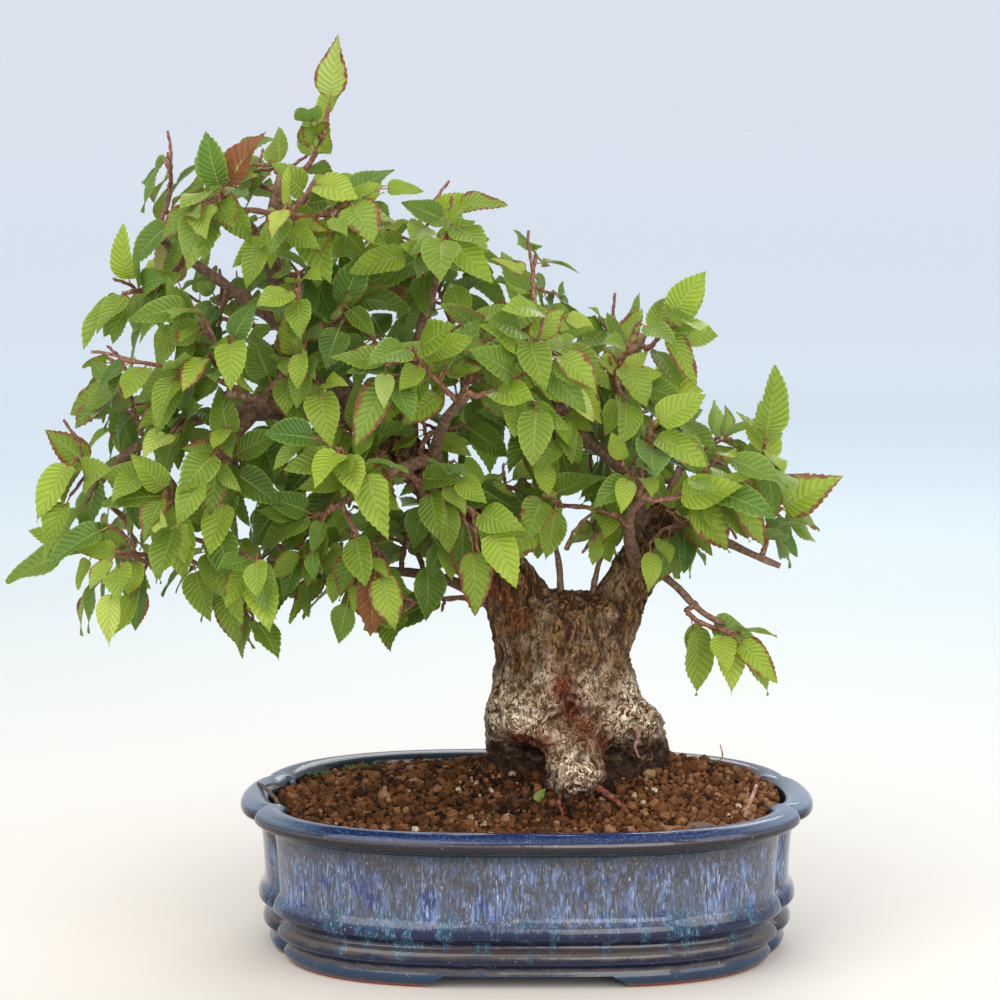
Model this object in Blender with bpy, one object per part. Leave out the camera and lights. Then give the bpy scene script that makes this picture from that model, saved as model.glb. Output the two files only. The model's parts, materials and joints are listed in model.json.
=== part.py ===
"""Korean hornbeam bonsai in a four-lobed glazed pot.

Lengths below are in millimetres, measured from the middle of the pot on the ground.
The meshes are written in metres, +Z up and the front toward -Y, shifted so that
the whole object is centred on the origin.
"""
import math
import random

import bmesh
import bpy
from mathutils import Vector
from mathutils.bvhtree import BVHTree

# Frame
MM = 0.001
SHIFT = Vector((43.5, -3.5, 0.0))
SEED = 2041

# Pot
POT_HALF_WIDTH = 120.0
POT_HALF_DEPTH = 86.0
POT_HEIGHT = 65.0
FRONT_LOBE_HALF_WIDTH = 116.0
LOBE_POWER = 2.7
NOTCH_ANGLE = math.radians(15.0)
NOTCH_DEPTH = 4.2
NOTCH_REACH = 2.6
QUARTER_ANGLES = (0.0, 8.0, 13.4, 15.0, 16.6, 20.0, 27.5, 38.0, 52.0, 70.0)
# Each station is the distance in from the lip's outline and the height.
POT_STATIONS = (
    (32.5, 5.8), (31.0, 0.0), (16.5, 0.0), (13.0, 1.6), (11.8, 5.4), (12.0, 7.8), (9.6, 11.4),
    (9.6, 14.4), (11.4, 17.6), (8.0, 21.6), (8.0, 25.4), (9.6, 30.0), (8.1, 54.0), (3.6, 56.8),
    (0.2, 59.0), (0.6, 62.4), (4.0, 64.8), (8.6, 64.8), (12.0, 62.4), (13.6, 54.0),
    (15.5, 13.0), (18.5, 10.2),
)
ARCH_HALF_WIDTH = 41.0
ARCH_TOP_HALF_WIDTH = 34.0
ARCH_HEIGHT = 5.4
DRAIN_RADIUS = 7.0
DRAIN_X = 46.0
FLOOR_TOP = 10.2
GAP = 0.35

# Drainage screens
SCREEN_SIZE = 24.0
SCREEN_THICKNESS = 1.2
SCREEN_HOLE = 4.0
SCREEN_PITCH = 9.0

# Soil
SOIL_EDGE = 58.5
SOIL_MOUND = 16.0
MOUND_X, MOUND_Y = 22.0, 26.0
MOUND_WIDTH, MOUND_DEPTH = 74.0, 36.0
GRAIN_HEIGHT = 0.9
CHIP_PLACE = (70.0, -46.0)
STALK_PLACE = (88.0, -36.0)
FLAT_REACH = 9.0

# Trunk: height, middle and half-widths of its plain section
TRUNK_SIDES = 28
TRUNK_LEVELS = (
    (38.0, 22.0, 24.0, 33.0, 25.0), (54.0, 22.0, 24.0, 37.0, 28.0),
    (72.0, 22.0, 24.0, 38.5, 28.0), (90.0, 20.0, 21.0, 33.0, 26.0),
    (106.0, 17.0, 19.0, 29.0, 23.0), (120.0, 16.0, 18.0, 27.0, 21.0),
    (132.0, 15.5, 18.0, 29.0, 20.0), (141.0, 17.0, 18.0, 33.0, 18.0),
)
TRUNK_RINGS = (40, 56, 64, 69, 74, 79, 85, 91, 97, 104, 113, 123, 132, 138)
# Swellings and hollows: angle, height, amount, spread in degrees and in height
BUMPS = (
    (196.0, 92.0, 6.0, 40.0, 12.0),
    (-12.0, 88.0, 5.0, 34.0, 11.0),
    (268.0, 72.0, 15.0, 24.0, 12.0),
    (262.0, 97.0, -5.0, 15.0, 8.0),
    (229.0, 75.0, -8.0, 16.0, 7.0),
    (309.0, 77.0, -8.0, 14.0, 7.0),
    (75.0, 84.0, 5.0, 40.0, 12.0),
)

# Limbs: radius at the start and end, then the points that the limb runs through
LIMBS = {
    "left": (18.0, 6.6, (
        (6, 18, 117), (-4, 18, 143), (-11, 17, 155), (-18, 16, 164), (-26, 15, 175),
        (-40, 13, 193), (-52, 11, 209), (-63, 10, 218))),
    "left_top": (6.2, 2.4, (
        (-61, 10, 217), (-76, 8, 231), (-92, 9, 250), (-103, 12, 272), (-106, 12, 298),
        (-101, 10, 322))),
    "left_top_side": (3.6, 1.6, ((-94, 9, 254), (-118, 4, 272), (-140, -2, 288), (-156, -4, 300))),
    "left_top_front": (3.2, 1.5, (
        (-104, 12, 280), (-110, -8, 296), (-116, -26, 308), (-118, -40, 314))),
    "left_reach": (5.0, 1.8, (
        (-62, 10, 217), (-85, 0, 223), (-110, -6, 226), (-138, -6, 221), (-164, -4, 208),
        (-180, -4, 192))),
    "left_reach_front": (3.0, 1.5, ((-88, -1, 223), (-104, -26, 231), (-120, -48, 236))),
    "left_low": (3.4, 1.6, ((-112, -6, 226), (-128, -18, 204), (-140, -24, 182), (-150, -24, 162))),
    "left_back": (4.2, 1.7, ((-60, 11, 216), (-78, 34, 234), (-96, 54, 248), (-112, 66, 258))),
    "left_back_low": (3.0, 1.5, ((-98, -3, 224), (-122, 30, 218), (-142, 44, 206))),
    "middle": (4.8, 1.8, ((-50, 11, 207), (-48, 4, 236), (-42, 0, 264), (-34, -4, 292))),
    "middle_front": (4.2, 1.7, ((-36, 13, 188), (-38, -12, 208), (-32, -36, 226), (-24, -54, 236))),
    "middle_low": (3.0, 1.4, ((-38, -8, 206), (-56, -30, 202), (-78, -46, 190))),
    "middle_back": (3.8, 1.6, ((-47, 6, 232), (-40, 32, 246), (-32, 54, 258))),
    "back_low": (3.6, 1.5, ((-8, 26, 134), (-30, 42, 146), (-58, 50, 150), (-86, 52, 148))),
    "right": (17.0, 5.0, (
        (25, 19, 117), (40, 19, 143), (46, 18, 156), (52, 17, 167), (58, 14, 177), (66, 12, 183),
        (86, 9, 190))),
    "right_tip": (4.8, 2.0, ((84, 9, 189), (102, 8, 194), (118, 6, 196))),
    "right_up": (5.6, 1.8, ((50, 18, 162), (45, 14, 188), (40, 10, 214), (42, 5, 240), (48, 2, 256))),
    "right_up_left": (3.4, 1.5, ((44, 13, 196), (24, 4, 214), (8, -2, 236), (2, -4, 262))),
    "right_front": (3.8, 1.6, ((47, 17, 156), (42, -12, 174), (42, -36, 188), (48, -52, 196))),
    "right_back": (4.0, 1.6, ((52, 18, 166), (60, 40, 182), (68, 60, 196))),
    "right_low": (3.2, 1.3, ((58, 13, 176), (76, -4, 173), (92, -14, 167), (104, -16, 162))),
    "right_drop": (2.2, 1.2, ((50, 16, 158), (60, 2, 153), (72, -8, 142), (82, -12, 137))),
}
STOUT_LIMB = 7.0

# Crown: its outline from the front, its half depth and its middle
CROWN_OUTLINE = (
    (-196, 146), (-200, 170), (-195, 212), (-188, 250), (-184, 296), (-172, 318), (-152, 340),
    (-123, 352), (-92, 345), (-53, 330), (-26, 318), (8, 312), (12, 290), (36, 275), (66, 262),
    (72, 236), (102, 226), (120, 216), (124, 184), (108, 160), (72, 146), (50, 150), (30, 164),
    (-10, 162), (-24, 146), (-42, 132), (-86, 134), (-116, 127), (-150, 138), (-180, 138),
)
CROWN_HALF_DEPTH = 74.0
CROWN_MIDDLE = (-30.0, 10.0, 205.0)
EDGE_ROUNDING = 46.0
# Sprays end in the outer part of the crown: shares of its half depth
SHELL = (0.35, 0.95)
SPRAYS = 35
# Lone shoots that reach past the outline: where each one ends
LONE_SHOOTS = (
    (-190.0, -6.0, 166.0),
    (-81.0, 4.0, 350.0),
    (58.0, -4.0, 263.0),
    (88.0, -16.0, 134.0),
    (98.0, -4.0, 213.0),
    (106.0, 0.0, 184.0),
)
LONE_SAG = (0.15, -0.1, 0.0, 0.8, 0.2, 0.3)
LEAF_SAG = 0.7
TWIG_START, TWIG_END = 1.3, 0.75
SIDE_TWIG_START, SIDE_TWIG_END = 0.8, 0.6
SIDE_TWIG_PLACES = ((2, 0.75),)

# Leaves
LEAF_LENGTH = (19.0, 29.0)
LEAF_WIDTH_SHARE = 0.66
STALK_LENGTH = 4.5
BLADE_THICKNESS = 0.8
# Half outline of a blade: share of the length and of the half width, with two teeth
BLADE_OUTLINE = ((0.05, 0.62), (0.30, 1.0), (0.37, 0.86), (0.62, 0.80), (0.68, 0.62))
RIB_SHARE = 0.42
LEAF_TRIES = 16


def clear_scene():
    for thing in list(bpy.data.objects):
        bpy.data.objects.remove(thing, do_unlink=True)


def new_collection(name):
    collection = bpy.data.collections.new(name)
    bpy.context.scene.collection.children.link(collection)
    return collection


def material(name, colour, roughness, metallic=0.0):
    made = bpy.data.materials.new(name)
    made.use_nodes = True
    shader = made.node_tree.nodes["Principled BSDF"]
    shader.inputs["Base Color"].default_value = (*colour, 1.0)
    shader.inputs["Roughness"].default_value = roughness
    shader.inputs["Metallic"].default_value = metallic
    made.diffuse_color = (*colour, 1.0)
    return made


def place(point):
    """A point in millimetres from the pot's middle, as the mesh has it."""
    return (Vector(point) + SHIFT) * MM


def mesh_object(name, points, faces, collection, finish=None):
    mesh = bpy.data.meshes.new(name)
    mesh.from_pydata([place(p) for p in points], [], faces)
    mesh.update()
    made = bpy.data.objects.new(name, mesh)
    collection.objects.link(made)
    if finish:
        mesh.materials.append(finish)
    return made


def boolean(target, other, operation, solver="MANIFOLD"):
    """Apply a Boolean between the target and an object or a collection."""
    modifier = target.modifiers.new("shape", "BOOLEAN")
    modifier.operation = operation
    modifier.solver = solver
    if isinstance(other, bpy.types.Collection):
        modifier.operand_type = "COLLECTION"
        modifier.collection = other
        parts = list(other.objects)
    else:
        modifier.object = other
        parts = [other]
    bpy.context.view_layer.update()
    graph = bpy.context.evaluated_depsgraph_get()
    shaped = bpy.data.meshes.new_from_object(target.evaluated_get(graph))
    target.modifiers.clear()
    target.data = shaped
    for part in parts:
        bpy.data.objects.remove(part, do_unlink=True)


def loft(rings, closed_ends=True):
    """Points and faces of a closed skin over rings with equal numbers of points."""
    sides = len(rings[0])
    points = [p for ring in rings for p in ring]
    faces = []
    for i in range(len(rings) - 1):
        for j in range(sides):
            k = (j + 1) % sides
            low, high = i * sides, (i + 1) * sides
            faces.append((low + j, low + k, high + k))
            faces.append((low + j, high + k, high + j))
    if closed_ends:
        faces.append(tuple(reversed(range(sides))))
        faces.append(tuple((len(rings) - 1) * sides + j for j in range(sides)))
    return points, faces


# Pot
def lobe_radius(angle):
    """Plan radius of the lip's outline: two long lobes, two short ones, four notches."""
    turn = math.remainder(angle, math.pi)
    across = abs(math.cos(turn)) / FRONT_LOBE_HALF_WIDTH
    deep = abs(math.sin(turn)) / POT_HALF_DEPTH
    radius = (across ** LOBE_POWER + deep ** LOBE_POWER) ** (-1.0 / LOBE_POWER)
    share = abs(turn) / NOTCH_ANGLE
    if share < 1.0:
        edge_across = math.cos(NOTCH_ANGLE) / FRONT_LOBE_HALF_WIDTH
        edge_deep = math.sin(NOTCH_ANGLE) / POT_HALF_DEPTH
        edge = (edge_across ** LOBE_POWER + edge_deep ** LOBE_POWER) ** (-1.0 / LOBE_POWER)
        radius = edge + (POT_HALF_WIDTH - edge) * (1.0 - share ** 2.4)
    along = abs(abs(turn) - NOTCH_ANGLE) * radius
    return radius - NOTCH_DEPTH * math.exp(-along / NOTCH_REACH)


def pot_angles():
    angles = []
    for quarter in range(4):
        for degrees in QUARTER_ANGLES:
            if quarter % 2:
                if degrees > 0.0:
                    angles.append(math.radians(90.0 * (quarter + 1) - degrees))
            else:
                angles.append(math.radians(90.0 * quarter + degrees))
        if quarter % 2 == 0:
            angles.append(math.radians(90.0 * (quarter + 1)))
    return sorted(angles)


def pot_ring(inset, height, angles):
    ring = []
    for angle in angles:
        radius = lobe_radius(angle) - inset
        ring.append((radius * math.cos(angle), radius * math.sin(angle), height))
    return ring


def build_pot(collection, cutters, finish):
    angles = pot_angles()
    rings = [pot_ring(inset, height, angles) for inset, height in POT_STATIONS]
    points, faces = loft(rings)
    pot = mesh_object("pot", points, faces, collection, finish)
    for side in (-1.0, 1.0):
        near, far = 40.0 * side, 100.0 * side
        section = (
            (-ARCH_HALF_WIDTH, -3.0), (ARCH_HALF_WIDTH, -3.0), (ARCH_HALF_WIDTH, 0.6),
            (ARCH_TOP_HALF_WIDTH, ARCH_HEIGHT), (-ARCH_TOP_HALF_WIDTH, ARCH_HEIGHT),
            (-ARCH_HALF_WIDTH, 0.6),
        )
        ends = [[(x, y, z) for x, z in section] for y in (min(near, far), max(near, far))]
        arch = mesh_object("arch", *loft(ends), cutters)
        turn_outward(arch)
        boolean(pot, arch, "DIFFERENCE")
    for side in (-1.0, 1.0):
        bpy.ops.mesh.primitive_cylinder_add(
            vertices=20, radius=DRAIN_RADIUS * MM, depth=20.0 * MM,
            location=place((DRAIN_X * side, 0.0, 8.0)))
        drain = bpy.context.object
        bake_transform(drain)
        boolean(pot, drain, "DIFFERENCE")
    return pot


def turn_outward(thing):
    shape = bmesh.new()
    shape.from_mesh(thing.data)
    bmesh.ops.recalc_face_normals(shape, faces=shape.faces)
    shape.to_mesh(thing.data)
    shape.free()


def bake_transform(thing):
    bpy.context.view_layer.update()
    thing.data.transform(thing.matrix_world)
    thing.matrix_world.identity()


# Drainage screens
def build_screen(name, side, collection, cutters, finish):
    low = FLOOR_TOP + GAP
    middle = low + SCREEN_THICKNESS / 2.0
    bpy.ops.mesh.primitive_cube_add(size=1.0, location=place((DRAIN_X * side, 0.0, middle)))
    screen = bpy.context.object
    screen.name = name
    screen.data.name = name
    screen.scale = (SCREEN_SIZE * MM, SCREEN_SIZE * MM, SCREEN_THICKNESS * MM)
    bake_transform(screen)
    for old in list(screen.users_collection):
        old.objects.unlink(screen)
    collection.objects.link(screen)
    screen.data.materials.append(finish)
    for column in (-0.5, 0.5):
        for row in (-0.5, 0.5):
            spot = (DRAIN_X * side + column * SCREEN_PITCH, row * SCREEN_PITCH, middle)
            bpy.ops.mesh.primitive_cube_add(size=1.0, location=place(spot))
            hole = bpy.context.object
            hole.scale = (SCREEN_HOLE * MM, SCREEN_HOLE * MM, 4.0 * MM)
            bake_transform(hole)
            for old in list(hole.users_collection):
                old.objects.unlink(hole)
            cutters.objects.link(hole)
    boolean(screen, cutters, "DIFFERENCE")
    return screen


# Trunk
def smooth_between(table, value):
    """A smooth reading of a table whose rows start with their place."""
    if value <= table[0][0]:
        return table[0][1:]
    for low, high in zip(table, table[1:]):
        if value <= high[0]:
            share = (value - low[0]) / (high[0] - low[0])
            share = share * share * (3.0 - 2.0 * share)
            return tuple(a + (b - a) * share for a, b in zip(low[1:], high[1:]))
    return table[-1][1:]


def trunk_point(angle, height, outward=0.0):
    middle_x, middle_y, half_x, half_y = smooth_between(TRUNK_LEVELS, height)
    across = math.cos(angle) / half_x
    deep = math.sin(angle) / half_y
    radius = 1.0 / math.sqrt(across * across + deep * deep)
    for degrees, level, amount, spread, rise in BUMPS:
        off = math.degrees(math.remainder(angle - math.radians(degrees), 2.0 * math.pi))
        radius += amount * math.exp(-(off / spread) ** 2 - ((height - level) / rise) ** 2)
    radius += outward
    return (middle_x + radius * math.cos(angle), middle_y + radius * math.sin(angle), height)


def trunk_ring(height, outward=0.0):
    turns = [2.0 * math.pi * j / TRUNK_SIDES for j in range(TRUNK_SIDES)]
    return [trunk_point(turn, height, outward) for turn in turns]


def drawn_in(ring, height, share):
    middle = [sum(p[k] for p in ring) / len(ring) for k in (0, 1)]
    return [(middle[0] + (p[0] - middle[0]) * share, middle[1] + (p[1] - middle[1]) * share, height)
            for p in ring]


def circle_section(sides):
    """A round outline of unit size, which a limb's curve carries along."""
    curve = bpy.data.curves.new("section", "CURVE")
    curve.dimensions = "2D"
    line = curve.splines.new("POLY")
    line.points.add(sides - 1)
    for j in range(sides):
        turn = 2.0 * math.pi * j / sides
        line.points[j].co = (math.cos(turn) * MM, math.sin(turn) * MM, 0.0, 1.0)
    line.use_cyclic_u = True
    made = bpy.data.objects.new("section", curve)
    bpy.context.scene.collection.objects.link(made)
    return made


def tube(name, path, radii, section, collection):
    """A curve through the path, thick as the radii say, turned into a closed mesh."""
    curve = bpy.data.curves.new(name, "CURVE")
    curve.dimensions = "3D"
    line = curve.splines.new("POLY")
    line.points.add(len(path) - 1)
    for j, (point, radius) in enumerate(zip(path, radii)):
        line.points[j].co = (*place(point), 1.0)
        line.points[j].radius = radius
    curve.bevel_mode = "OBJECT"
    curve.bevel_object = section
    curve.use_fill_caps = True
    drawn = bpy.data.objects.new(name, curve)
    collection.objects.link(drawn)
    bpy.context.view_layer.update()
    graph = bpy.context.evaluated_depsgraph_get()
    mesh = bpy.data.meshes.new_from_object(drawn.evaluated_get(graph))
    bpy.data.objects.remove(drawn, do_unlink=True)
    shape = bmesh.new()
    shape.from_mesh(mesh)
    bmesh.ops.remove_doubles(shape, verts=shape.verts, dist=0.00001)
    bmesh.ops.recalc_face_normals(shape, faces=shape.faces)
    shape.to_mesh(mesh)
    shape.free()
    made = bpy.data.objects.new(name, mesh)
    collection.objects.link(made)
    return made


def limb_path(row):
    """Points and radii along a limb, thinning evenly to its end."""
    start, end, points = row
    path = [Vector(p) for p in points]
    steps = [0.0]
    for a, b in zip(path, path[1:]):
        steps.append(steps[-1] + (b - a).length)
    radii = [start + (end - start) * (s / steps[-1]) ** 0.6 for s in steps]
    return path, radii


def build_trunk(collection, pieces, finish):
    rings = [trunk_ring(height) for height in TRUNK_RINGS]
    top = rings[-1]
    rings.append(drawn_in(top, 143.0, 0.78))
    rings.append(drawn_in(top, 146.0, 0.4))
    points, faces = loft(rings)
    trunk = mesh_object("trunk", points, faces, collection, finish)
    thick = circle_section(8)
    thin = circle_section(5)
    for name, row in LIMBS.items():
        path, radii = limb_path(row)
        section = thick if radii[0] > STOUT_LIMB else thin
        tube(name, path, radii, section, pieces)
    boolean(trunk, pieces, "UNION")
    bpy.data.objects.remove(thick, do_unlink=True)
    bpy.data.objects.remove(thin, do_unlink=True)
    return trunk


# Soil
def soil_height(x, y, random_source):
    mound = math.exp(-((x - MOUND_X) / MOUND_WIDTH) ** 2 - ((y - MOUND_Y) / MOUND_DEPTH) ** 2)
    height = SOIL_EDGE + SOIL_MOUND * mound
    rough = random_source.uniform(-GRAIN_HEIGHT, GRAIN_HEIGHT)
    for spot in (CHIP_PLACE, STALK_PLACE):
        away = math.hypot(x - spot[0], y - spot[1])
        rough *= min(1.0, max(0.0, away - FLAT_REACH) / 6.0)
    return height + rough


def build_soil(collection, cutters, finish):
    source = random.Random(SEED + 1)
    angles = pot_angles()
    rings = [pot_ring(inset + 0.6, height, angles) for inset, height in
             ((18.5, FLOOR_TOP + GAP), (15.6, 13.4), (13.7, 55.0))]
    edge = pot_ring(13.6, SOIL_EDGE, angles)
    for share in (1.0, 0.94, 0.85, 0.74, 0.62, 0.5, 0.38, 0.26):
        rings.append([(x * share, y * share, soil_height(x * share, y * share, source))
                      for x, y, _ in edge])
    points, faces = loft(rings)
    soil = mesh_object("soil", points, faces, collection, finish)
    hole_rings = [trunk_ring(height, 0.7) for height in TRUNK_RINGS[:9]]
    hole_rings.insert(0, drawn_in(hole_rings[0], TRUNK_RINGS[0] - 0.5, 1.0))
    hole = mesh_object("hole", *loft(hole_rings), cutters)
    turn_outward(hole)
    boolean(soil, hole, "DIFFERENCE")
    for side in (-1.0, 1.0):
        wide = SCREEN_SIZE + 2.0 * GAP
        top = FLOOR_TOP + SCREEN_THICKNESS + 2.0 * GAP
        bpy.ops.mesh.primitive_cube_add(size=1.0, location=place((DRAIN_X * side, 0.0, top - 3.0)))
        pocket = bpy.context.object
        pocket.scale = (wide * MM, wide * MM, 6.0 * MM)
        bake_transform(pocket)
        boolean(soil, pocket, "DIFFERENCE")
    return soil


def plain_soil_height(x, y):
    mound = math.exp(-((x - MOUND_X) / MOUND_WIDTH) ** 2 - ((y - MOUND_Y) / MOUND_DEPTH) ** 2)
    return SOIL_EDGE + SOIL_MOUND * mound


# Crown
def inside_outline(x, z):
    inside = False
    count = len(CROWN_OUTLINE)
    for i in range(count):
        ax, az = CROWN_OUTLINE[i]
        bx, bz = CROWN_OUTLINE[(i + 1) % count]
        if (az > z) != (bz > z) and x < (bx - ax) * (z - az) / (bz - az) + ax:
            inside = not inside
    return inside


def edge_distance(x, z):
    """Distance from the outline, below zero outside."""
    best = 1e9
    count = len(CROWN_OUTLINE)
    for i in range(count):
        ax, az = CROWN_OUTLINE[i]
        bx, bz = CROWN_OUTLINE[(i + 1) % count]
        dx, dz = bx - ax, bz - az
        share = ((x - ax) * dx + (z - az) * dz) / (dx * dx + dz * dz)
        share = min(1.0, max(0.0, share))
        best = min(best, math.hypot(x - ax - share * dx, z - az - share * dz))
    return best if inside_outline(x, z) else -best


def half_depth(x, z):
    """Half depth of the crown behind a place on its front view."""
    away = edge_distance(x, z)
    if away <= 0.0:
        return 0.0
    share = min(1.0, away / EDGE_ROUNDING)
    return CROWN_HALF_DEPTH * math.sqrt(1.0 - (1.0 - share) ** 2)


def outward_from_crown(point):
    away = Vector(point) - Vector(CROWN_MIDDLE)
    away.z *= 0.7
    return away.normalized()


def facing(point):
    """The level way that a leaf turns its face: to the front or the back, less to a side."""
    away = Vector(point) - Vector(CROWN_MIDDLE)
    return Vector((away.x * 0.3, away.y - 28.0, 0.0)).normalized()


def spray_targets(source):
    """Places spread evenly through the crown, one for each spray."""
    low_x = min(p[0] for p in CROWN_OUTLINE)
    high_x = max(p[0] for p in CROWN_OUTLINE)
    low_z = min(p[1] for p in CROWN_OUTLINE)
    high_z = max(p[1] for p in CROWN_OUTLINE)
    chosen = [Vector(p) for p in LONE_SHOOTS]
    while len(chosen) < SPRAYS + len(LONE_SHOOTS):
        best, best_gap = None, -1.0
        for _ in range(50):
            x = source.uniform(low_x, high_x)
            z = source.uniform(low_z, high_z)
            depth = half_depth(x, z)
            if edge_distance(x, z) < 7.0:
                continue
            side = -1.0 if source.random() < 0.5 else 1.0
            y = CROWN_MIDDLE[1] + side * source.uniform(*SHELL) * depth
            spot = Vector((x, y, z))
            gap = min((spot - other).length for other in chosen)
            if gap > best_gap:
                best, best_gap = spot, gap
        chosen.append(best)
    return chosen


def limb_samples():
    """Points on the limbs from which a twig may start: place, direction and radius."""
    found = []
    for row in LIMBS.values():
        path, radii = limb_path(row)
        for i in range(len(path) - 1):
            steps = max(2, int((path[i + 1] - path[i]).length / 4.0))
            for step in range(steps):
                share = step / steps
                radius = radii[i] + (radii[i + 1] - radii[i]) * share
                spot = path[i].lerp(path[i + 1], share)
                if radius < 7.5 and spot.z > 140.0:
                    found.append((spot, (path[i + 1] - path[i]).normalized(), radius))
        found.append((path[-1], (path[-1] - path[-2]).normalized(), radii[-1]))
    return found


def segment_gap(a, b, c, d):
    """Least distance between two straight segments."""
    u, v, w = b - a, d - c, a - c
    uu, uv, vv = u.dot(u), u.dot(v), v.dot(v)
    uw, vw = u.dot(w), v.dot(w)
    below = uu * vv - uv * uv
    s = 0.5 if below < 1e-9 else min(1.0, max(0.0, (uv * vw - vv * uw) / below))
    t = min(1.0, max(0.0, (uv * s + vw) / vv)) if vv > 1e-9 else 0.0
    s = min(1.0, max(0.0, (uv * t - uw) / uu)) if uu > 1e-9 else 0.0
    return ((a + u * s) - (c + v * t)).length


class Bars:
    """Round bars already placed, kept by owner, for the clearance of the next ones."""

    def __init__(self):
        self.rows = []

    def add(self, path, radii, owner):
        for i in range(len(path) - 1):
            a, b = path[i], path[i + 1]
            middle = (a + b) / 2.0
            reach = (b - a).length / 2.0
            self.rows.append((a, b, max(radii[i], radii[i + 1]), middle, reach, owner))

    def clear(self, path, radii, owner, margin):
        for i in range(len(path) - 1):
            a, b = path[i], path[i + 1]
            middle = (a + b) / 2.0
            reach = (b - a).length / 2.0
            radius = max(radii[i], radii[i + 1])
            for c, d, other, centre, other_reach, who in self.rows:
                if who == owner:
                    continue
                need = radius + other + margin
                if (middle - centre).length > reach + other_reach + need:
                    continue
                if segment_gap(a, b, c, d) < need:
                    return False
        return True


def bezier(a, b, c, d, share):
    rest = 1.0 - share
    return (a * rest ** 3 + b * 3.0 * rest ** 2 * share
            + c * 3.0 * rest * share ** 2 + d * share ** 3)


def twig_path(start, leave, target, ending, bow):
    reach = (target - start).length
    b = start + leave * reach * 0.35 + bow
    c = target - ending * reach * 0.3 + bow
    return [bezier(start, b, c, target, share) for share in (0.0, 0.12, 0.38, 0.68, 1.0)]


def plan_main_twigs(source, bars, surface):
    """The main twig of each spray, from the nearest free limb to the spray's place."""
    samples = limb_samples()
    used = []
    twigs = []
    for number, target in enumerate(spray_targets(source)):
        ranked = []
        for spot, along, radius in samples:
            away = target - spot
            cost = away.length + 0.6 * max(0.0, spot.z - target.z + 4.0)
            for other in used:
                near = (spot - other).length
                if near < 9.0:
                    cost += 3.0 * (9.0 - near)
            ranked.append((cost, spot, along, radius))
        ranked.sort(key=lambda row: row[0])
        made = None
        for attempt in range(60):
            _, spot, along, radius = ranked[min(attempt // 3, len(ranked) - 1)]
            away = target - spot
            if away.length < 8.0:
                away = outward_from_crown(target) * 12.0
            side = away - along * away.dot(along)
            tip = spot == samples[-1][0] or side.length < 2.0
            leave = away.normalized() if tip else side.normalized()
            hit = surface.ray_cast(spot + leave * (radius + 6.0), -leave)
            if hit[0] is None:
                continue
            leave = hit[1].normalized()
            start = hit[0] + leave * GAP
            if (start - spot).length > radius + 3.0:
                continue
            ending = (outward_from_crown(target) * 0.7 + away.normalized() * 0.6).normalized()
            amount = 1.0 + 0.25 * attempt
            bow = Vector([source.uniform(-1.0, 1.0) * amount for _ in range(3)])
            path = twig_path(start, leave, target, ending, bow)
            path[1] = start + leave * 2.6
            radii = [TWIG_START + (TWIG_END - TWIG_START) * k / 4.0 for k in range(5)]
            touches = surface.overlap(bar_tree(path, radii, 0.0))
            if not touches and bars.clear(path[1:], radii[1:], number, 0.5):
                made = (path, radii, spot)
                break
        if made is None:
            continue
        path, radii, spot = made
        used.append(spot)
        bars.add(path, radii, number)
        twigs.append({"number": number, "path": path, "radii": radii, "sides": [], "leaves": []})
    return twigs


def plan_side_twigs(source, bars, twigs):
    """A side twig on each main twig, to one side and the other in turn."""
    for which, twig in enumerate(twigs):
        path = twig["path"]
        for joint, share in SIDE_TWIG_PLACES:
            root = path[joint].lerp(path[joint + 1], share)
            ahead = (path[joint + 1] - path[joint]).normalized()
            out = outward_from_crown(root)
            across = ahead.cross(out)
            if across.length < 0.1:
                across = ahead.cross(Vector((0.0, 0.0, 1.0)))
            across.normalize()
            across *= 1.0 if which % 2 else -1.0
            for attempt in range(12):
                length = source.uniform(13.0, 21.0) * (1.0 - 0.03 * attempt)
                way = ahead * 0.6 + across * 0.8
                way += Vector([source.uniform(-0.3, 0.3) * (1.0 + 0.2 * attempt) for _ in range(3)])
                way.normalize()
                bend = (way + out * 0.3 + Vector((0.0, 0.0, -0.15))).normalized()
                side = [root, root + way * length * 0.5, root + way * length * 0.5 + bend * length * 0.5]
                radii = [SIDE_TWIG_START, 0.7, SIDE_TWIG_END]
                inside = edge_distance(side[-1].x, side[-1].z) > 0.0
                if (inside or attempt > 8) and bars.clear(side, radii, twig["number"], 0.5):
                    bars.add(side, radii, twig["number"])
                    twig["sides"].append((side, radii))
                    break


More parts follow.
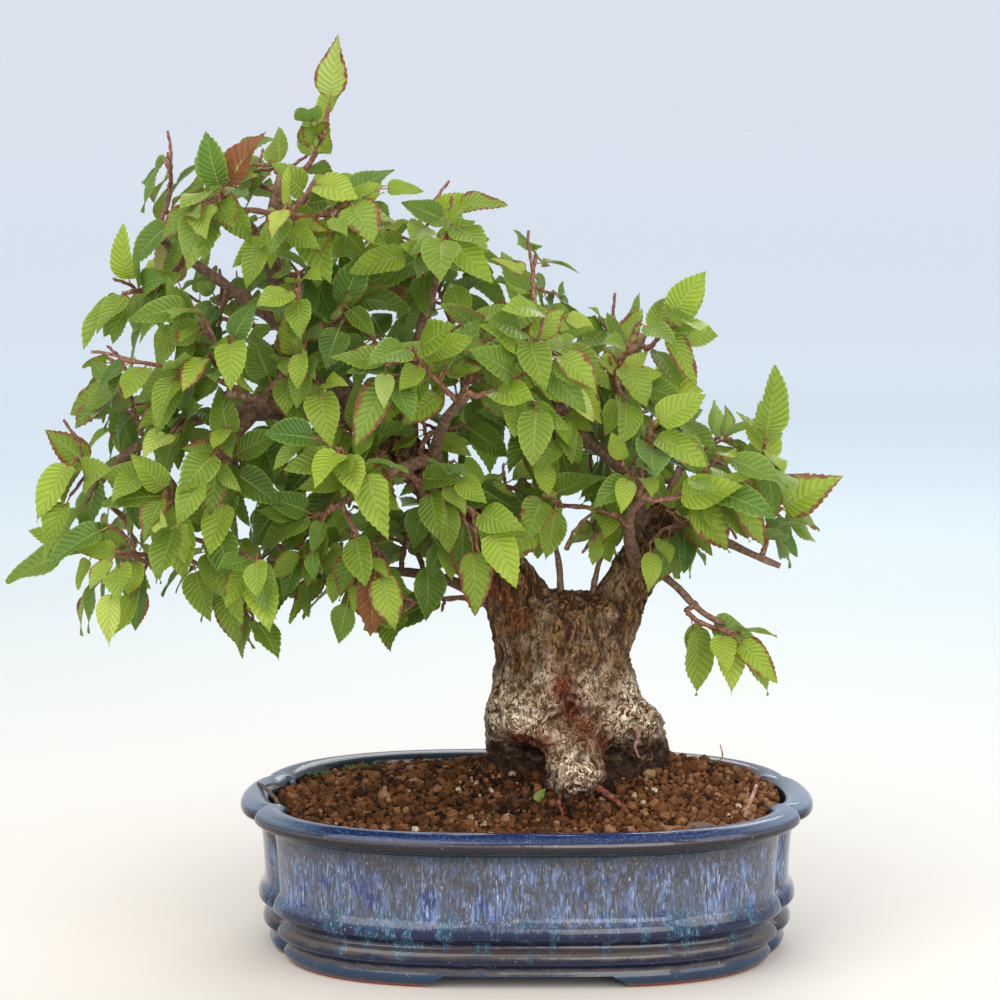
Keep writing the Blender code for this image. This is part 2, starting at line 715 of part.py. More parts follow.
def blade_points(leaf, swell=0.0):
    """Points of a toothed, folded and drooping blade with its stalk, then its faces."""
    length, width = leaf["length"], leaf["width"]
    root, way, face = leaf["root"], leaf["way"], leaf["face"]
    across = face.cross(way)
    half = width / 2.0
    thick = BLADE_THICKNESS / 2.0 + swell

    def at(x, y, lift):
        share = max(0.0, x) / length
        z = leaf["fold"] * abs(y) - leaf["droop"] * length * share * share + lift
        return root + way * (x + STALK_LENGTH) + across * y + face * z

    points = [
        at(-STALK_LENGTH, 0.24, 0.1), at(-STALK_LENGTH, -0.24, 0.1), at(-STALK_LENGTH, 0.0, -0.24),
        at(0.0, 0.45, 0.15), at(0.0, -0.45, 0.15), at(0.0, 0.0, -0.5),
    ]
    faces = [(0, 1, 2), (0, 3, 4, 1), (1, 4, 5, 2), (2, 5, 3, 0)]
    left, right = [3], [4]
    for share, wide in BLADE_OUTLINE:
        left.append(len(points))
        points.append(at(share * length, half * wide, 0.0))
        right.append(len(points))
        points.append(at(share * length, -half * wide, 0.0))
    top = len(points)
    points.append(at(RIB_SHARE * length, 0.0, thick))
    low = len(points)
    points.append(at(RIB_SHARE * length, 0.0, -thick))
    tip = len(points)
    points.append(at(length, 0.0, 0.0))
    faces.append((3, top, 4))
    for edge, flip in ((left + [tip], False), (right + [tip], True)):
        for rib, under in ((top, False), (low, True)):
            for a, b in zip(edge, edge[1:]):
                faces.append((rib, a, b) if flip == under else (rib, b, a))
        faces.append((5, edge[0], low) if flip else (5, low, edge[0]))
    return points, faces


def leaf_spots(twig):
    """Where a spray's leaves stand: the place, the twig's heading and the side."""
    spots = []
    path = twig["path"]
    heading = (path[-1] - path[-2]).normalized()
    spots.append((path[-1] - heading * 0.6, heading, 0.0))
    for side, _ in twig["sides"]:
        ahead = (side[-1] - side[-2]).normalized()
        spots.append((side[-1] - ahead * 0.5, ahead, 0.0))
    turn = 1.0 if twig["number"] % 2 else -1.0
    spots.append((path[3].lerp(path[4], 0.35), (path[4] - path[3]).normalized(), -turn))
    spots.append((path[2].lerp(path[3], 0.35), (path[3] - path[2]).normalized(), turn))
    spots.append((path[1].lerp(path[2], 0.8), (path[2] - path[1]).normalized(), -turn))
    for side, _ in twig["sides"][:1]:
        ahead = (side[1] - side[0]).normalized()
        spots.append((side[1], ahead, turn))
    return spots


def draw_leaf(source, spot, heading, turn, sag, attempt):
    out = outward_from_crown(spot)
    across = heading.cross(out)
    if across.length < 0.1:
        across = heading.cross(Vector((0.0, 0.0, 1.0)))
    across.normalize()
    loose = 0.22 + 0.07 * attempt
    jitter = Vector([source.uniform(-loose, loose) for _ in range(3)])
    way = heading * 0.55 + across * turn * 0.75 + out * 0.25 + Vector((0.0, 0.0, -sag)) + jitter
    way.normalize()
    jitter = Vector([source.uniform(-loose, loose) for _ in range(3)])
    face = facing(spot) * 0.8 + Vector((0.0, 0.0, 0.6)) + jitter
    face = face - way * face.dot(way)
    if face.length < 0.1:
        face = across.copy()
    face.normalize()
    height_share = min(1.0, max(0.0, (spot.z - 140.0) / 200.0))
    longest = LEAF_LENGTH[1] - 4.0 * height_share
    length = source.uniform(LEAF_LENGTH[0], longest) * (1.0 - 0.015 * attempt)
    return {
        "root": spot, "way": way, "face": face, "length": length,
        "width": length * LEAF_WIDTH_SHARE * source.uniform(0.92, 1.1),
        "fold": source.uniform(0.12, 0.36), "droop": source.uniform(0.06, 0.34),
    }


def leaf_tree(leaf, swell, with_stalk):
    points, faces = blade_points(leaf, swell)
    return BVHTree.FromPolygons(points, faces if with_stalk else faces[4:])


def bar_tree(path, radii, extra):
    """A rough four-sided bar round a twig, for tests only."""
    points, faces = [], []
    for i in range(len(path)):
        ahead = path[min(i + 1, len(path) - 1)] - path[max(i - 1, 0)]
        ahead.normalize()
        first = ahead.orthogonal().normalized()
        second = ahead.cross(first)
        size = (radii[i] + extra) * 1.25
        for a, b in ((1, 0), (0, 1), (-1, 0), (0, -1)):
            points.append(path[i] + first * a * size + second * b * size)
    for i in range(len(path) - 1):
        for j in range(4):
            k = (j + 1) % 4
            faces.append((i * 4 + j, i * 4 + k, i * 4 + 4 + k, i * 4 + 4 + j))
    return BVHTree.FromPolygons(points, faces)


class Foliage:
    """Blades and bars already placed, with their places, for crossing tests."""

    def __init__(self):
        self.rows = []

    def add(self, tree, middle, reach, owner):
        self.rows.append((tree, middle, reach, owner))

    def free(self, leaf, middle, reach, owner):
        """True if the leaf crosses nothing; its stalk may only meet its own spray."""
        blade = leaf_tree(leaf, 0.0, False)
        whole = leaf_tree(leaf, 0.0, True)
        for other, centre, other_reach, who in self.rows:
            if (middle - centre).length > reach + other_reach:
                continue
            if (blade if who == owner else whole).overlap(other):
                return False
        return True


def plan_leaves(source, twigs, surface):
    """Stalked leaves on every twig, each turned until it crosses nothing."""
    foliage = Foliage()
    for twig in twigs:
        for path, radii in [(twig["path"], twig["radii"])] + twig["sides"]:
            middle = (path[0] + path[-1]) / 2.0
            reach = max((p - middle).length for p in path) + 2.0
            foliage.add(bar_tree(path, radii, 0.35), middle, reach, twig["number"])
    for twig in twigs:
        lone = twig["number"] < len(LONE_SHOOTS)
        sag = LONE_SAG[twig["number"]] if lone else LEAF_SAG
        for spot, heading, turn in leaf_spots(twig):
            for attempt in range(LEAF_TRIES):
                leaf = draw_leaf(source, spot, heading, turn, sag, attempt)
                blade_root = spot + leaf["way"] * STALK_LENGTH
                tip = blade_root + leaf["way"] * leaf["length"]
                tip -= leaf["face"] * leaf["droop"] * leaf["length"]
                if not lone and edge_distance(tip.x, tip.z) < -5.0:
                    continue
                middle = (spot + tip) / 2.0
                reach = (tip - spot).length * 0.5 + leaf["width"] * 0.4
                if surface.overlap(leaf_tree(leaf, 0.7, True)):
                    continue
                if foliage.free(leaf, middle, reach, twig["number"]):
                    foliage.add(leaf_tree(leaf, 0.4, True), middle, reach, twig["number"])
                    twig["leaves"].append(leaf)
                    break


def surface_tree(thing):
    """A search tree of an object's surface, in millimetres from the pot's middle."""
    points = [v.co / MM - SHIFT for v in thing.data.vertices]
    faces = [tuple(p.vertices) for p in thing.data.polygons]
    return BVHTree.FromPolygons(points, faces)


def build_spray(twig, order, collection, pieces, section, finish):
    name = f"leafy_spray_{order:02d}"
    spray = tube(name, twig["path"], twig["radii"], section, collection)
    spray.data.materials.clear()
    spray.data.materials.append(finish)
    for path, radii in twig["sides"]:
        tube("side_twig", path, radii, section, pieces)
    for leaf in twig["leaves"]:
        points, faces = blade_points(leaf)
        made = mesh_object("leaf", points, faces, pieces)
        turn_outward(made)
    boolean(spray, pieces, "UNION")
    return spray


# Loose bits on the soil
def build_chip(collection, finish):
    """A flat five-sided chip of bark, level on a smooth patch of the soil."""
    x, y = CHIP_PLACE
    high = max(plain_soil_height(x + a, y + b) for a in (-7.0, 7.0) for b in (-5.0, 5.0))
    outline = ((-6.5, -3.0), (3.0, -4.5), (7.0, -0.5), (2.5, 4.0), (-5.0, 3.0))
    rings = []
    for level, share in ((0.3, 0.9), (1.3, 1.0), (2.2, 0.8)):
        rings.append([(x + a * share, y + b * share, high + level) for a, b in outline])
    chip = mesh_object("bark_chip", *loft(rings), collection, finish)
    turn_outward(chip)
    return chip


def build_stalk(collection, soil, cutters, section, finish):
    """A thin dead stem standing in its own plain hole in the soil."""
    x, y = STALK_PLACE
    ground = plain_soil_height(x, y)
    path = [Vector((x - 1.5, y, ground - 6.0)), Vector((x, y, ground)),
            Vector((x + 2.6, y - 0.5, ground + 8.0)), Vector((x + 5.6, y, ground + 16.0))]
    hole = tube("stalk_hole", [path[0] - Vector((0.1, 0.0, 0.6)), path[1], path[2]],
                [1.25, 1.25, 1.25], section, cutters)
    boolean(soil, hole, "DIFFERENCE")
    stalk = tube("dry_stalk", path, [0.7, 0.8, 0.75, 0.65], section, collection)
    stalk.data.materials.clear()
    stalk.data.materials.append(finish)
    return stalk


def main():
    clear_scene()
    bonsai = new_collection("korean_hornbeam_bonsai")
    cutters = new_collection("cutters")
    pieces = new_collection("pieces")
    cutters.hide_render = True

    glaze = material("blue_glaze", (0.035, 0.07, 0.23), 0.15)
    plastic = material("black_plastic_mesh", (0.02, 0.02, 0.02), 0.6)
    earth = material("clay_granules", (0.17, 0.07, 0.03), 0.9)
    bark = material("hornbeam_bark", (0.26, 0.17, 0.11), 0.85)
    leaf_green = material("leaf_green", (0.10, 0.26, 0.05), 0.5)
    dry_wood = material("dry_wood", (0.34, 0.22, 0.16), 0.8)

    build_pot(bonsai, cutters, glaze)
    build_screen("drainage_screen_left", -1.0, bonsai, cutters, plastic)
    build_screen("drainage_screen_right", 1.0, bonsai, cutters, plastic)
    trunk = build_trunk(bonsai, pieces, bark)
    soil = build_soil(bonsai, cutters, earth)
    build_chip(bonsai, dry_wood)
    square = circle_section(4)
    build_stalk(bonsai, soil, cutters, square, dry_wood)

    source = random.Random(SEED)
    surface = surface_tree(trunk)
    bars = Bars()
    for name, row in LIMBS.items():
        path, radii = limb_path(row)
        bars.add(path, radii, name)
    twigs = plan_main_twigs(source, bars, surface)
    plan_side_twigs(source, bars, twigs)
    plan_leaves(source, twigs, surface)
    section = circle_section(3)
    for order, twig in enumerate(twigs, start=1):
        build_spray(twig, order, bonsai, pieces, section, leaf_green)
    for helper in (square, section):
        bpy.data.objects.remove(helper, do_unlink=True)
    print("sprays", len(twigs), "leaves", sum(len(t["leaves"]) for t in twigs))
    for thing in bonsai.objects:
        thing.data.calc_loop_triangles()
    print("triangles", sum(len(o.data.loop_triangles) for o in bonsai.objects))


main()
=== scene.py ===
# %% [markdown]
# # A korean hornbeam bonsai, dressed for a photograph
# A bonsai is a tree kept small in a pot. This lesson takes the plain solids of one, made
# beforehand, and gives each the finer shape and the surface that the real thing shows.
# The solids are loaded first and are never moved, so every finer piece has a fixed place to go.

# %% Load the plain solids
import json
import math
import random

import bmesh
import bpy
import numpy as np
from mathutils import Matrix, Vector, noise
from mathutils.bvhtree import BVHTree

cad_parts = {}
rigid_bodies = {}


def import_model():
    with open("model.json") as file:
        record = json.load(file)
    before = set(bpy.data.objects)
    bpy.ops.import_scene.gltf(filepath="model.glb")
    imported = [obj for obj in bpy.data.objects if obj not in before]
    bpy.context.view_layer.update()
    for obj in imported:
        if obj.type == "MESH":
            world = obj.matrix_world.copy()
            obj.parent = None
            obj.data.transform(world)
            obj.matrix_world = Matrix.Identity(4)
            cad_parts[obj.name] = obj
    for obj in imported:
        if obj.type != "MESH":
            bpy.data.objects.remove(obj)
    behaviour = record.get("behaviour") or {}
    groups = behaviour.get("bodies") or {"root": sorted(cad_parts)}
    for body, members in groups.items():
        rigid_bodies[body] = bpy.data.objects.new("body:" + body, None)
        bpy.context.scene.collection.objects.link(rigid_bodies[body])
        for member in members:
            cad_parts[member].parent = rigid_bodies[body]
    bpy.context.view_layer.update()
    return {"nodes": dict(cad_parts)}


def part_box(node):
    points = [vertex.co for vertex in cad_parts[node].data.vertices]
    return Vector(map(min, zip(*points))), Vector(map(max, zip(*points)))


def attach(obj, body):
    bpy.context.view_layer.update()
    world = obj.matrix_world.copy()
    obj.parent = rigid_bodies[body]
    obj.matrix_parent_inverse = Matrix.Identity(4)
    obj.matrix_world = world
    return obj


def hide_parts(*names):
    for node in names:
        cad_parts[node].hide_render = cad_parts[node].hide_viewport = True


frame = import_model()
print("solids loaded:", len(frame["nodes"]))

# %% [markdown]
# ## Lengths, places and colours
# A maker measures a pot in millimetres from the middle of its foot, so the numbers here do
# the same, and one function turns such a place into Blender's metres. Colours are picked as
# hex values, as a screen shows them, but Blender mixes light in linear numbers, so one
# function turns them over.

# %% Small helpers
MM = 0.001
SHIFT = Vector((43.5, -3.5, 0.0))
SEED = 2041


def place(point):
    """A point in millimetres from the pot's middle, as a mesh has it."""
    return (Vector(point) + SHIFT) * MM


def place_all(points):
    """The same for a whole array of points."""
    return (np.asarray(points, float) + np.array(SHIFT)) * MM


def shade(text):
    """A colour such as #4f8a3a, in linear numbers."""
    parts = [int(text[k:k + 2], 16) / 255.0 for k in (1, 3, 5)]
    linear = [c / 12.92 if c <= 0.04045 else ((c + 0.055) / 1.055) ** 2.4 for c in parts]
    return (*linear, 1.0)


def add(tree, kind, settings=None, links=None, out=None):
    """Add a node with its choices, inputs and links. Its named or first used output is the result."""
    made = tree.nodes.new("ShaderNode" + kind)
    for key, value in (settings or {}).items():
        if key == "stops":
            ramp = made.color_ramp
            while len(ramp.elements) < len(value):
                ramp.elements.new(0.5)
            for element, (position, colour) in zip(ramp.elements, value):
                element.position = position
                element.color = shade(colour) if isinstance(colour, str) else (*[colour] * 3, 1.0)
        elif isinstance(key, str) and hasattr(made, key):
            setattr(made, key, value)
        else:
            made.inputs[key].default_value = value
    for key, output in (links or {}).items():
        tree.links.new(output, made.inputs[key])
    return made.outputs[out] if out else next(socket for socket in made.outputs if socket.enabled)


def start_material(name):
    """A new material with its glossy shader, and the place of each point in metres."""
    made = bpy.data.materials.new(name)
    made.use_nodes = True
    tree = made.node_tree
    shader = tree.nodes["Principled BSDF"]
    spot = add(tree, "TexCoord", out="Object")
    return made, tree, shader, spot


def dress(tree, shader, colour, constants, height=None, relief=None):
    """Give a shader its colour, its constants and, where a height is given, its relief."""
    tree.links.new(colour, shader.inputs["Base Color"])
    for key, value in constants.items():
        shader.inputs[key].default_value = value
    if relief:
        tree.links.new(add(tree, "Bump", relief, {"Height": height}), shader.inputs["Normal"])


def put_in_scene(name, data):
    """A new object that shows a mesh, a curve, a lamp or a camera."""
    made = bpy.data.objects.new(name, data)
    bpy.context.scene.collection.objects.link(made)
    return made


def mesh_object(name, points, faces):
    """A mesh object whose points are given in metres."""
    mesh = bpy.data.meshes.new(name)
    mesh.from_pydata([tuple(p) for p in points], [], [tuple(f) for f in faces])
    mesh.update()
    return put_in_scene(name, mesh)


def finish_mesh(name, points, faces, materials, smooth=True):
    """A mesh piece that moves with the plant's one body."""
    piece = mesh_object(name, points, faces)
    for material in materials:
        piece.data.materials.append(material)
    piece.data.polygons.foreach_set("use_smooth", [smooth] * len(piece.data.polygons))
    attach(piece, "root")
    return piece


def write_tone(piece, name, kind, values):
    """Keep a number or three on every point of a mesh, for its material to read."""
    layer = piece.data.attributes.new(name, kind, "POINT")
    key = "value" if kind == "FLOAT" else "vector"
    layer.data.foreach_set(key, np.asarray(values, np.float32).ravel())


print("one millimetre is", MM, "metres here")

# %% [markdown]
# ## The camera
# A long lens from a little above the rim keeps the pot's lines calm, as product pictures do.
# It stands 1.25 m away and looks down by about seven degrees.

# %% Place the camera
VIEW_TARGET = (-11.2, 0.0, 187.4)
VIEW_DISTANCE = 1250.0
VIEW_DOWN = math.radians(7.3)
camera_data = bpy.data.cameras.new("camera")
camera_data.lens = 108.4
camera_data.sensor_width = 36.0
camera_data.clip_end = 200.0
camera = put_in_scene("camera", camera_data)
back = Vector((0.0, -math.cos(VIEW_DOWN), math.sin(VIEW_DOWN))) * VIEW_DISTANCE
camera.location = place(Vector(VIEW_TARGET) + back)
camera.rotation_euler = (math.pi / 2.0 - VIEW_DOWN, 0.0, 0.0)
bpy.context.scene.camera = camera
print("camera at", [round(c, 3) for c in camera.location])

# %% [markdown]
# ## Floor and light
# A bright pale floor that fades to blue with distance stands in for the photographer's paper.
# It has no wall, so the plant can be seen from all sides. The sky lights everything softly,
# and four large panels add the direction that shows the bark and the glaze: one high on
# the left, one low in front that reaches the trunk under the crown, a weaker one on the
# right, and one behind that edges the leaves.

# %% Make the floor, the sky and the lamps
bpy.context.scene.view_settings.view_transform = "Standard"
world = bpy.data.worlds.new("soft_sky")
bpy.context.scene.world = world
world.use_nodes = True
sky = world.node_tree
look = add(sky, "TexCoord", out="Generated")
height = add(sky, "SeparateXYZ", links={0: look}, out="Z")
fade = add(sky, "ValToRGB", {"stops": ((0.0, "#e3eaf6"), (0.12, "#e4e9f5"), (0.6, "#f8f9fb"))},
           {0: height})
sky.links.new(fade, sky.nodes["Background"].inputs["Color"])
sky.nodes["Background"].inputs["Strength"].default_value = 0.92

paper, tree, shader, spot = start_material("pale_paper_floor")
away = add(tree, "VectorMath", {"operation": "LENGTH"}, {0: spot}, "Value")
# The lamps light the floor unevenly, so its tint rises again where their light falls off
share = add(tree, "MapRange", {"From Min": 0.0, "From Max": 60.0}, {"Value": away})
share = add(tree, "Math", {"operation": "SQRT"}, {0: share})
tint = add(tree, "ValToRGB", {"stops": (
    (0.045, "#ddd7cf"), (0.075, "#dad8d4"), (0.1, "#d1d5d2"), (0.13, "#c7d1d4"),
    (0.165, "#cbdae2"), (0.18, "#d4e4ec"), (0.215, "#e4f2fc"), (0.29, "#e5f1fb"),
    (0.48, "#eaf3fd"), (1, "#ecf3fd"))}, {0: share})
dress(tree, shader, tint, {"Roughness": 0.9})
FLOOR_RADIUS = 60.0
FLOOR_SIDES = 64
turns = [2.0 * math.pi * k / FLOOR_SIDES for k in range(FLOOR_SIDES)]
floor = mesh_object("floor", [(FLOOR_RADIUS * math.cos(t), FLOOR_RADIUS * math.sin(t), 0.0) for t in turns],
                    [range(FLOOR_SIDES)])
floor.data.materials.append(paper)


def hang_lamp(name, spot, size, watts, colour):
    """A square soft lamp that looks at the middle of the plant."""
    lamp = bpy.data.lights.new(name, "AREA")
    lamp.size = size
    lamp.energy = watts
    lamp.color = shade(colour)[:3]
    made = put_in_scene(name, lamp)
    made.location = spot
    aim = Vector((0.03, 0.0, 0.16)) - made.location
    made.rotation_euler = aim.to_track_quat("-Z", "Y").to_euler()


hang_lamp("key_panel", Vector((-0.8, -1.0, 1.5)), 1.6, 19.0, "#fffaf2")
hang_lamp("front_panel", Vector((0.5, -1.5, 0.6)), 0.9, 9.5, "#fff8ec")
hang_lamp("fill_panel", Vector((1.3, -0.8, 0.9)), 0.9, 6.0, "#f4f8ff")
hang_lamp("back_panel", Vector((0.3, 1.2, 1.3)), 1.0, 10.0, "#ffffff")

# %% [markdown]
# ## The pot's shape
# The pot is stoneware pressed in a mould: a long oval of four lobes with a groove where
# two lobes meet, a thick rolled lip, two rounded ribs round the foot, and long feet with an
# arch between them. Seen from above it is one outline, and seen from the side it is one
# section, so the quickest true way is to carry the section round the outline. The plain
# solid does that with few steps. Here the same stations are rounded by a smooth curve.

# %% Pot outline and section
POT_HALF_WIDTH = 120.0
POT_HALF_DEPTH = 86.0
FRONT_LOBE_HALF_WIDTH = 116.0
LOBE_POWER = 2.7
NOTCH_ANGLE = math.radians(15.0)
NOTCH_DEPTH = 4.2
NOTCH_REACH = 2.6
# Each station is the distance in from the lip's outline and the height.
POT_STATIONS = (
    (32.5, 5.8), (31.0, 0.0), (15.4, 0.0), (13.0, 1.6), (11.6, 4.6), (12.6, 7.9), (9.3, 11.4),
    (9.4, 14.2), (12.2, 17.8), (7.6, 21.4), (7.6, 25.2), (9.9, 30.0), (8.1, 54.0), (3.6, 56.8),
    (0.2, 59.0), (0.6, 62.4), (4.0, 64.8), (8.6, 64.8), (12.0, 62.4), (13.6, 54.0),
    (15.5, 13.0), (18.5, 10.2),
)
SHARP_STATIONS = (0, 1, 2, 21)
STEPS_A_STATION = 5
STEPS_ROUND = 264
# Further steps in degrees to each side of a notch, and the least turn between two steps
NOTCH_OFFSETS = (-1.4, -0.8, -0.4, 0.0, 0.4, 0.8, 1.4)
LEAST_TURN = math.radians(0.25)


def lobe_radius(angle, notch=NOTCH_DEPTH):
    """Plan radius of the lip's outline: two long lobes, two short ones, four notches."""
    turn = math.remainder(angle, math.pi)
    across = abs(math.cos(turn)) / FRONT_LOBE_HALF_WIDTH
    deep = abs(math.sin(turn)) / POT_HALF_DEPTH
    radius = (across ** LOBE_POWER + deep ** LOBE_POWER) ** (-1.0 / LOBE_POWER)
    share = abs(turn) / NOTCH_ANGLE
    if share < 1.0:
        edge_across = math.cos(NOTCH_ANGLE) / FRONT_LOBE_HALF_WIDTH
        edge_deep = math.sin(NOTCH_ANGLE) / POT_HALF_DEPTH
        edge = (edge_across ** LOBE_POWER + edge_deep ** LOBE_POWER) ** (-1.0 / LOBE_POWER)
        radius = edge + (POT_HALF_WIDTH - edge) * (1.0 - share ** 2.4)
    along = abs(abs(turn) - NOTCH_ANGLE) * radius
    return radius - notch * math.exp(-along / NOTCH_REACH)


def curve_through(points, steps, sharp=()):
    """A smooth line through points, which keeps a corner at the sharp ones."""
    points = [np.asarray(p, float) for p in points]
    line = []
    for k in range(len(points) - 1):
        a, b = points[k], points[k + 1]
        before = b - a if k == 0 or k in sharp else (b - points[k - 1]) / 2.0
        after = b - a if k + 2 == len(points) or k + 1 in sharp else (points[k + 2] - a) / 2.0
        reach = np.linalg.norm(b - a)
        before = before * min(1.0, 1.2 * reach / max(np.linalg.norm(before), 1e-6))
        after = after * min(1.0, 1.2 * reach / max(np.linalg.norm(after), 1e-6))
        for step in range(steps):
            t = step / steps
            line.append(a * (2 * t ** 3 - 3 * t ** 2 + 1) + before * (t ** 3 - 2 * t ** 2 + t)
                        + b * (3 * t ** 2 - 2 * t ** 3) + after * (t ** 3 - t ** 2))
    line.append(points[-1])
    return line


def pot_angles(count):
    """Angles round the pot, closer together in the four notches."""
    angles = [2.0 * math.pi * k / count for k in range(count)]
    for notch in (NOTCH_ANGLE, math.pi - NOTCH_ANGLE, math.pi + NOTCH_ANGLE, -NOTCH_ANGLE):
        for offset in NOTCH_OFFSETS:
            angles.append((notch + math.radians(offset)) % (2.0 * math.pi))
    kept = []
    for angle in sorted(angles):
        if not kept or angle - kept[-1] > LEAST_TURN:
            kept.append(angle)
    return kept


def wrap(rows, sides, split=False):
    """Faces of a closed skin over rows of points: the sides first, then the two ends."""
    faces = []
    for i in range(rows - 1):
        for j in range(sides):
            k = (j + 1) % sides
            low, high = i * sides, (i + 1) * sides
            if split:
                faces += [(low + j, low + k, high + k), (low + j, high + k, high + j)]
            else:
                faces.append((low + j, low + k, high + k, high + j))
    faces.append(tuple(reversed(range(sides))))
    faces.append(tuple((rows - 1) * sides + j for j in range(sides)))
    return faces


def loft(rings, split=False):
    """Points and faces of a closed skin over rings with equal numbers of points."""
    return [p for ring in rings for p in ring], wrap(len(rings), len(rings[0]), split)


section = curve_through(POT_STATIONS, STEPS_A_STATION, SHARP_STATIONS)
angles = pot_angles(STEPS_ROUND)
print("pot section points:", len(section), "angles:", len(angles))

# %% [markdown]
# ## Glaze
# The pot is glazed stoneware: a cobalt glaze over a grey-brown base, fired until it ran.
# Under each rib it is painted navy, a painted reflection of a dark room in front. On every
# crest it is thin and the brown base shows. Down the wall it ran in fine periwinkle streaks
# that stand in flames, with bare base between them, and a few thick runs went on as turquoise
# drips over the ribs, each to another length. So the colours are laid on in that order: bands
# by height first, then patches, streaks and drips, each where a mask says. Every mask is a
# noise drawn out upright, as wide and as long in millimetres as the real runs, times a share
# that follows the height. Fired glaze is glass, so it mirrors the lamps sharply.

# %% Make the glaze
glaze, tree, shader, spot = start_material("cobalt_running_glaze")
height = add(tree, "SeparateXYZ", links={0: spot}, out="Z")
GLAZE_TOP = 66.0


def levels(*rows):
    """Stops of a ramp, each given by its height in millimetres."""
    return [(z / GLAZE_TOP, tone) for z, tone in rows]


def runs(width, length, detail, offset=0.0):
    """Noise whose patches are that wide and that long, in millimetres."""
    way = add(tree, "Mapping", {"Location": (offset, offset, 0.0),
                                "Scale": (1000.0 / width, 1000.0 / width, 1000.0 / length)},
              {"Vector": spot})
    return add(tree, "TexNoise", {"Scale": 1.0, "Detail": detail, "Roughness": 0.62},
               {"Vector": way})


# The borders between bands wander by two millimetres
wander = add(tree, "Math", {"operation": "MULTIPLY_ADD", 1: 0.004, 2: -0.002},
             {0: runs(9.0, 30.0, 2.0)})
below_lip = add(tree, "MapRange", {"From Min": 0.052, "From Max": 0.044, "To Min": 0.15},
                {"Value": height})
wander = add(tree, "Math", {"operation": "MULTIPLY"}, {0: wander, 1: below_lip})
level = add(tree, "Math", {"operation": "ADD"}, {0: height, 1: wander})
share = add(tree, "MapRange", {"From Min": 0.0, "From Max": GLAZE_TOP * MM},
            {"Value": level})
# Bands by height: the navy on the lower half of each rib is a painted reflection of a dark room in front
layer = add(tree, "ValToRGB", {"stops": levels(
    (1.0, "#152c42"), (5.6, "#1b3854"), (7.4, "#51463f"), (8.8, "#0f1a36"), (10.4, "#050e30"),
    (12.4, "#081234"), (14.4, "#4d453e"), (17.2, "#37343a"), (18.8, "#050d30"), (23.8, "#08143c"),
    (25.6, "#2c3040"), (29.0, "#474649"), (51.0, "#454345"), (54.0, "#1f2d38"), (57.4, "#202b36"),
    # The lip's outer face is painted dark, as painted shade under its roll, with a thin grey-pink painted
    # highlight across it
    (58.4, "#0c0910"), (60.6, "#17111b"), (61.3, "#55494c"), (61.8, "#161d33"), (63.4, "#13254c"),
    (66.0, "#102554"))}, {0: share})
low_wall = add(tree, "ValToRGB", {"stops": levels(
    (24.0, 0.0), (29.0, 1.0), (46.0, 1.0), (54.0, 0.12), (56.0, 0.0))}, {0: share})
# The streaks stand in flames, with bare grey-brown base between them
flames = add(tree, "MapRange", {"From Min": 0.42, "From Max": 0.58, "To Min": 0.30},
             {"Value": runs(11.0, 34.0, 3.0, 15.0)})
flame_wall = add(tree, "MixRGB", {"blend_type": "MULTIPLY", 0: 1.0},
                 {1: low_wall, 2: flames})
high_wall = add(tree, "ValToRGB", {"stops": levels(
    (34.0, 0.0), (46.0, 1.0), (54.5, 1.0), (56.0, 0.0))}, {0: share})
# A few thick runs go on over the ribs, each to another length
length_noise = add(tree, "Math", {"operation": "MULTIPLY_ADD", 1: 0.036, 2: -0.018},
                   {0: runs(11.0, 900.0, 1.0, 6.0)})
drip_level = add(tree, "Math", {"operation": "ADD"}, {0: height, 1: length_noise})
drip_end = add(tree, "MapRange", {"From Min": 0.014, "From Max": 0.019},
               {"Value": drip_level})
drip_top = add(tree, "MapRange", {"From Min": 0.036, "From Max": 0.028},
               {"Value": height})
column = add(tree, "MapRange", {"From Min": 0.52, "From Max": 0.58},
             {"Value": runs(8.0, 400.0, 2.0, 11.0)})
drip_zone = add(tree, "Math", {"operation": "MULTIPLY"}, {0: drip_end, 1: drip_top})
drip_zone = add(tree, "MixRGB", {"blend_type": "MULTIPLY", 0: 1.0}, {1: drip_zone, 2: column})
lip = add(tree, "ValToRGB", {"stops": levels((61.5, 0.0), (63.2, 1.0))}, {0: share})
# Each layer: colour, noise, the noise's low and high end, zone, strength
for tone, pattern, low, high, zone, strength in (
        ("#1f2c66", runs(16.0, 18.0, 2.0), 0.54, 0.62, low_wall, 0.80),
        ("#5f75a0", runs(1.9, 12.0, 5.0), 0.46, 0.58, flame_wall, 0.80),
        ("#7d93c2", runs(0.9, 5.0, 4.0, 3.0), 0.52, 0.61, flame_wall, 0.82),
        ("#413d3f", runs(9.0, 12.0, 3.0, 5.0), 0.54, 0.58, high_wall, 0.88),
        ("#4c6a86", runs(1.0, 4.0, 4.0, 9.0), 0.54, 0.62, high_wall, 0.50),
        ("#b8c6e0", runs(0.6, 4.5, 3.0, 7.0), 0.59, 0.67, flame_wall, 0.85),
        ("#1c4260", runs(1.6, 5.0, 4.0, 11.0), 0.40, 0.54, drip_zone, 0.75),
        ("#5b8fa0", runs(0.8, 2.6, 5.0, 2.0), 0.52, 0.62, drip_zone, 0.75),
        ("#4d74b8", runs(0.9, 0.9, 3.0, 4.0), 0.54, 0.66, lip, 0.55)):
    where = add(tree, "MapRange", {"From Min": low, "From Max": high, "To Max": strength},
                {"Value": pattern})
    where = add(tree, "Math", {"operation": "MULTIPLY"}, {0: where, 1: zone})
    layer = add(tree, "Mix", {"data_type": "RGBA", 7: shade(tone)}, {0: where, 6: layer})
# Places that take one plain tone over all of these, each with its mask
from_middle = add(tree, "VectorMath", {"operation": "SUBTRACT", 1: SHIFT * MM}, {0: spot})
across, deep, _ = add(tree, "SeparateXYZ", links={0: from_middle}).node.outputs
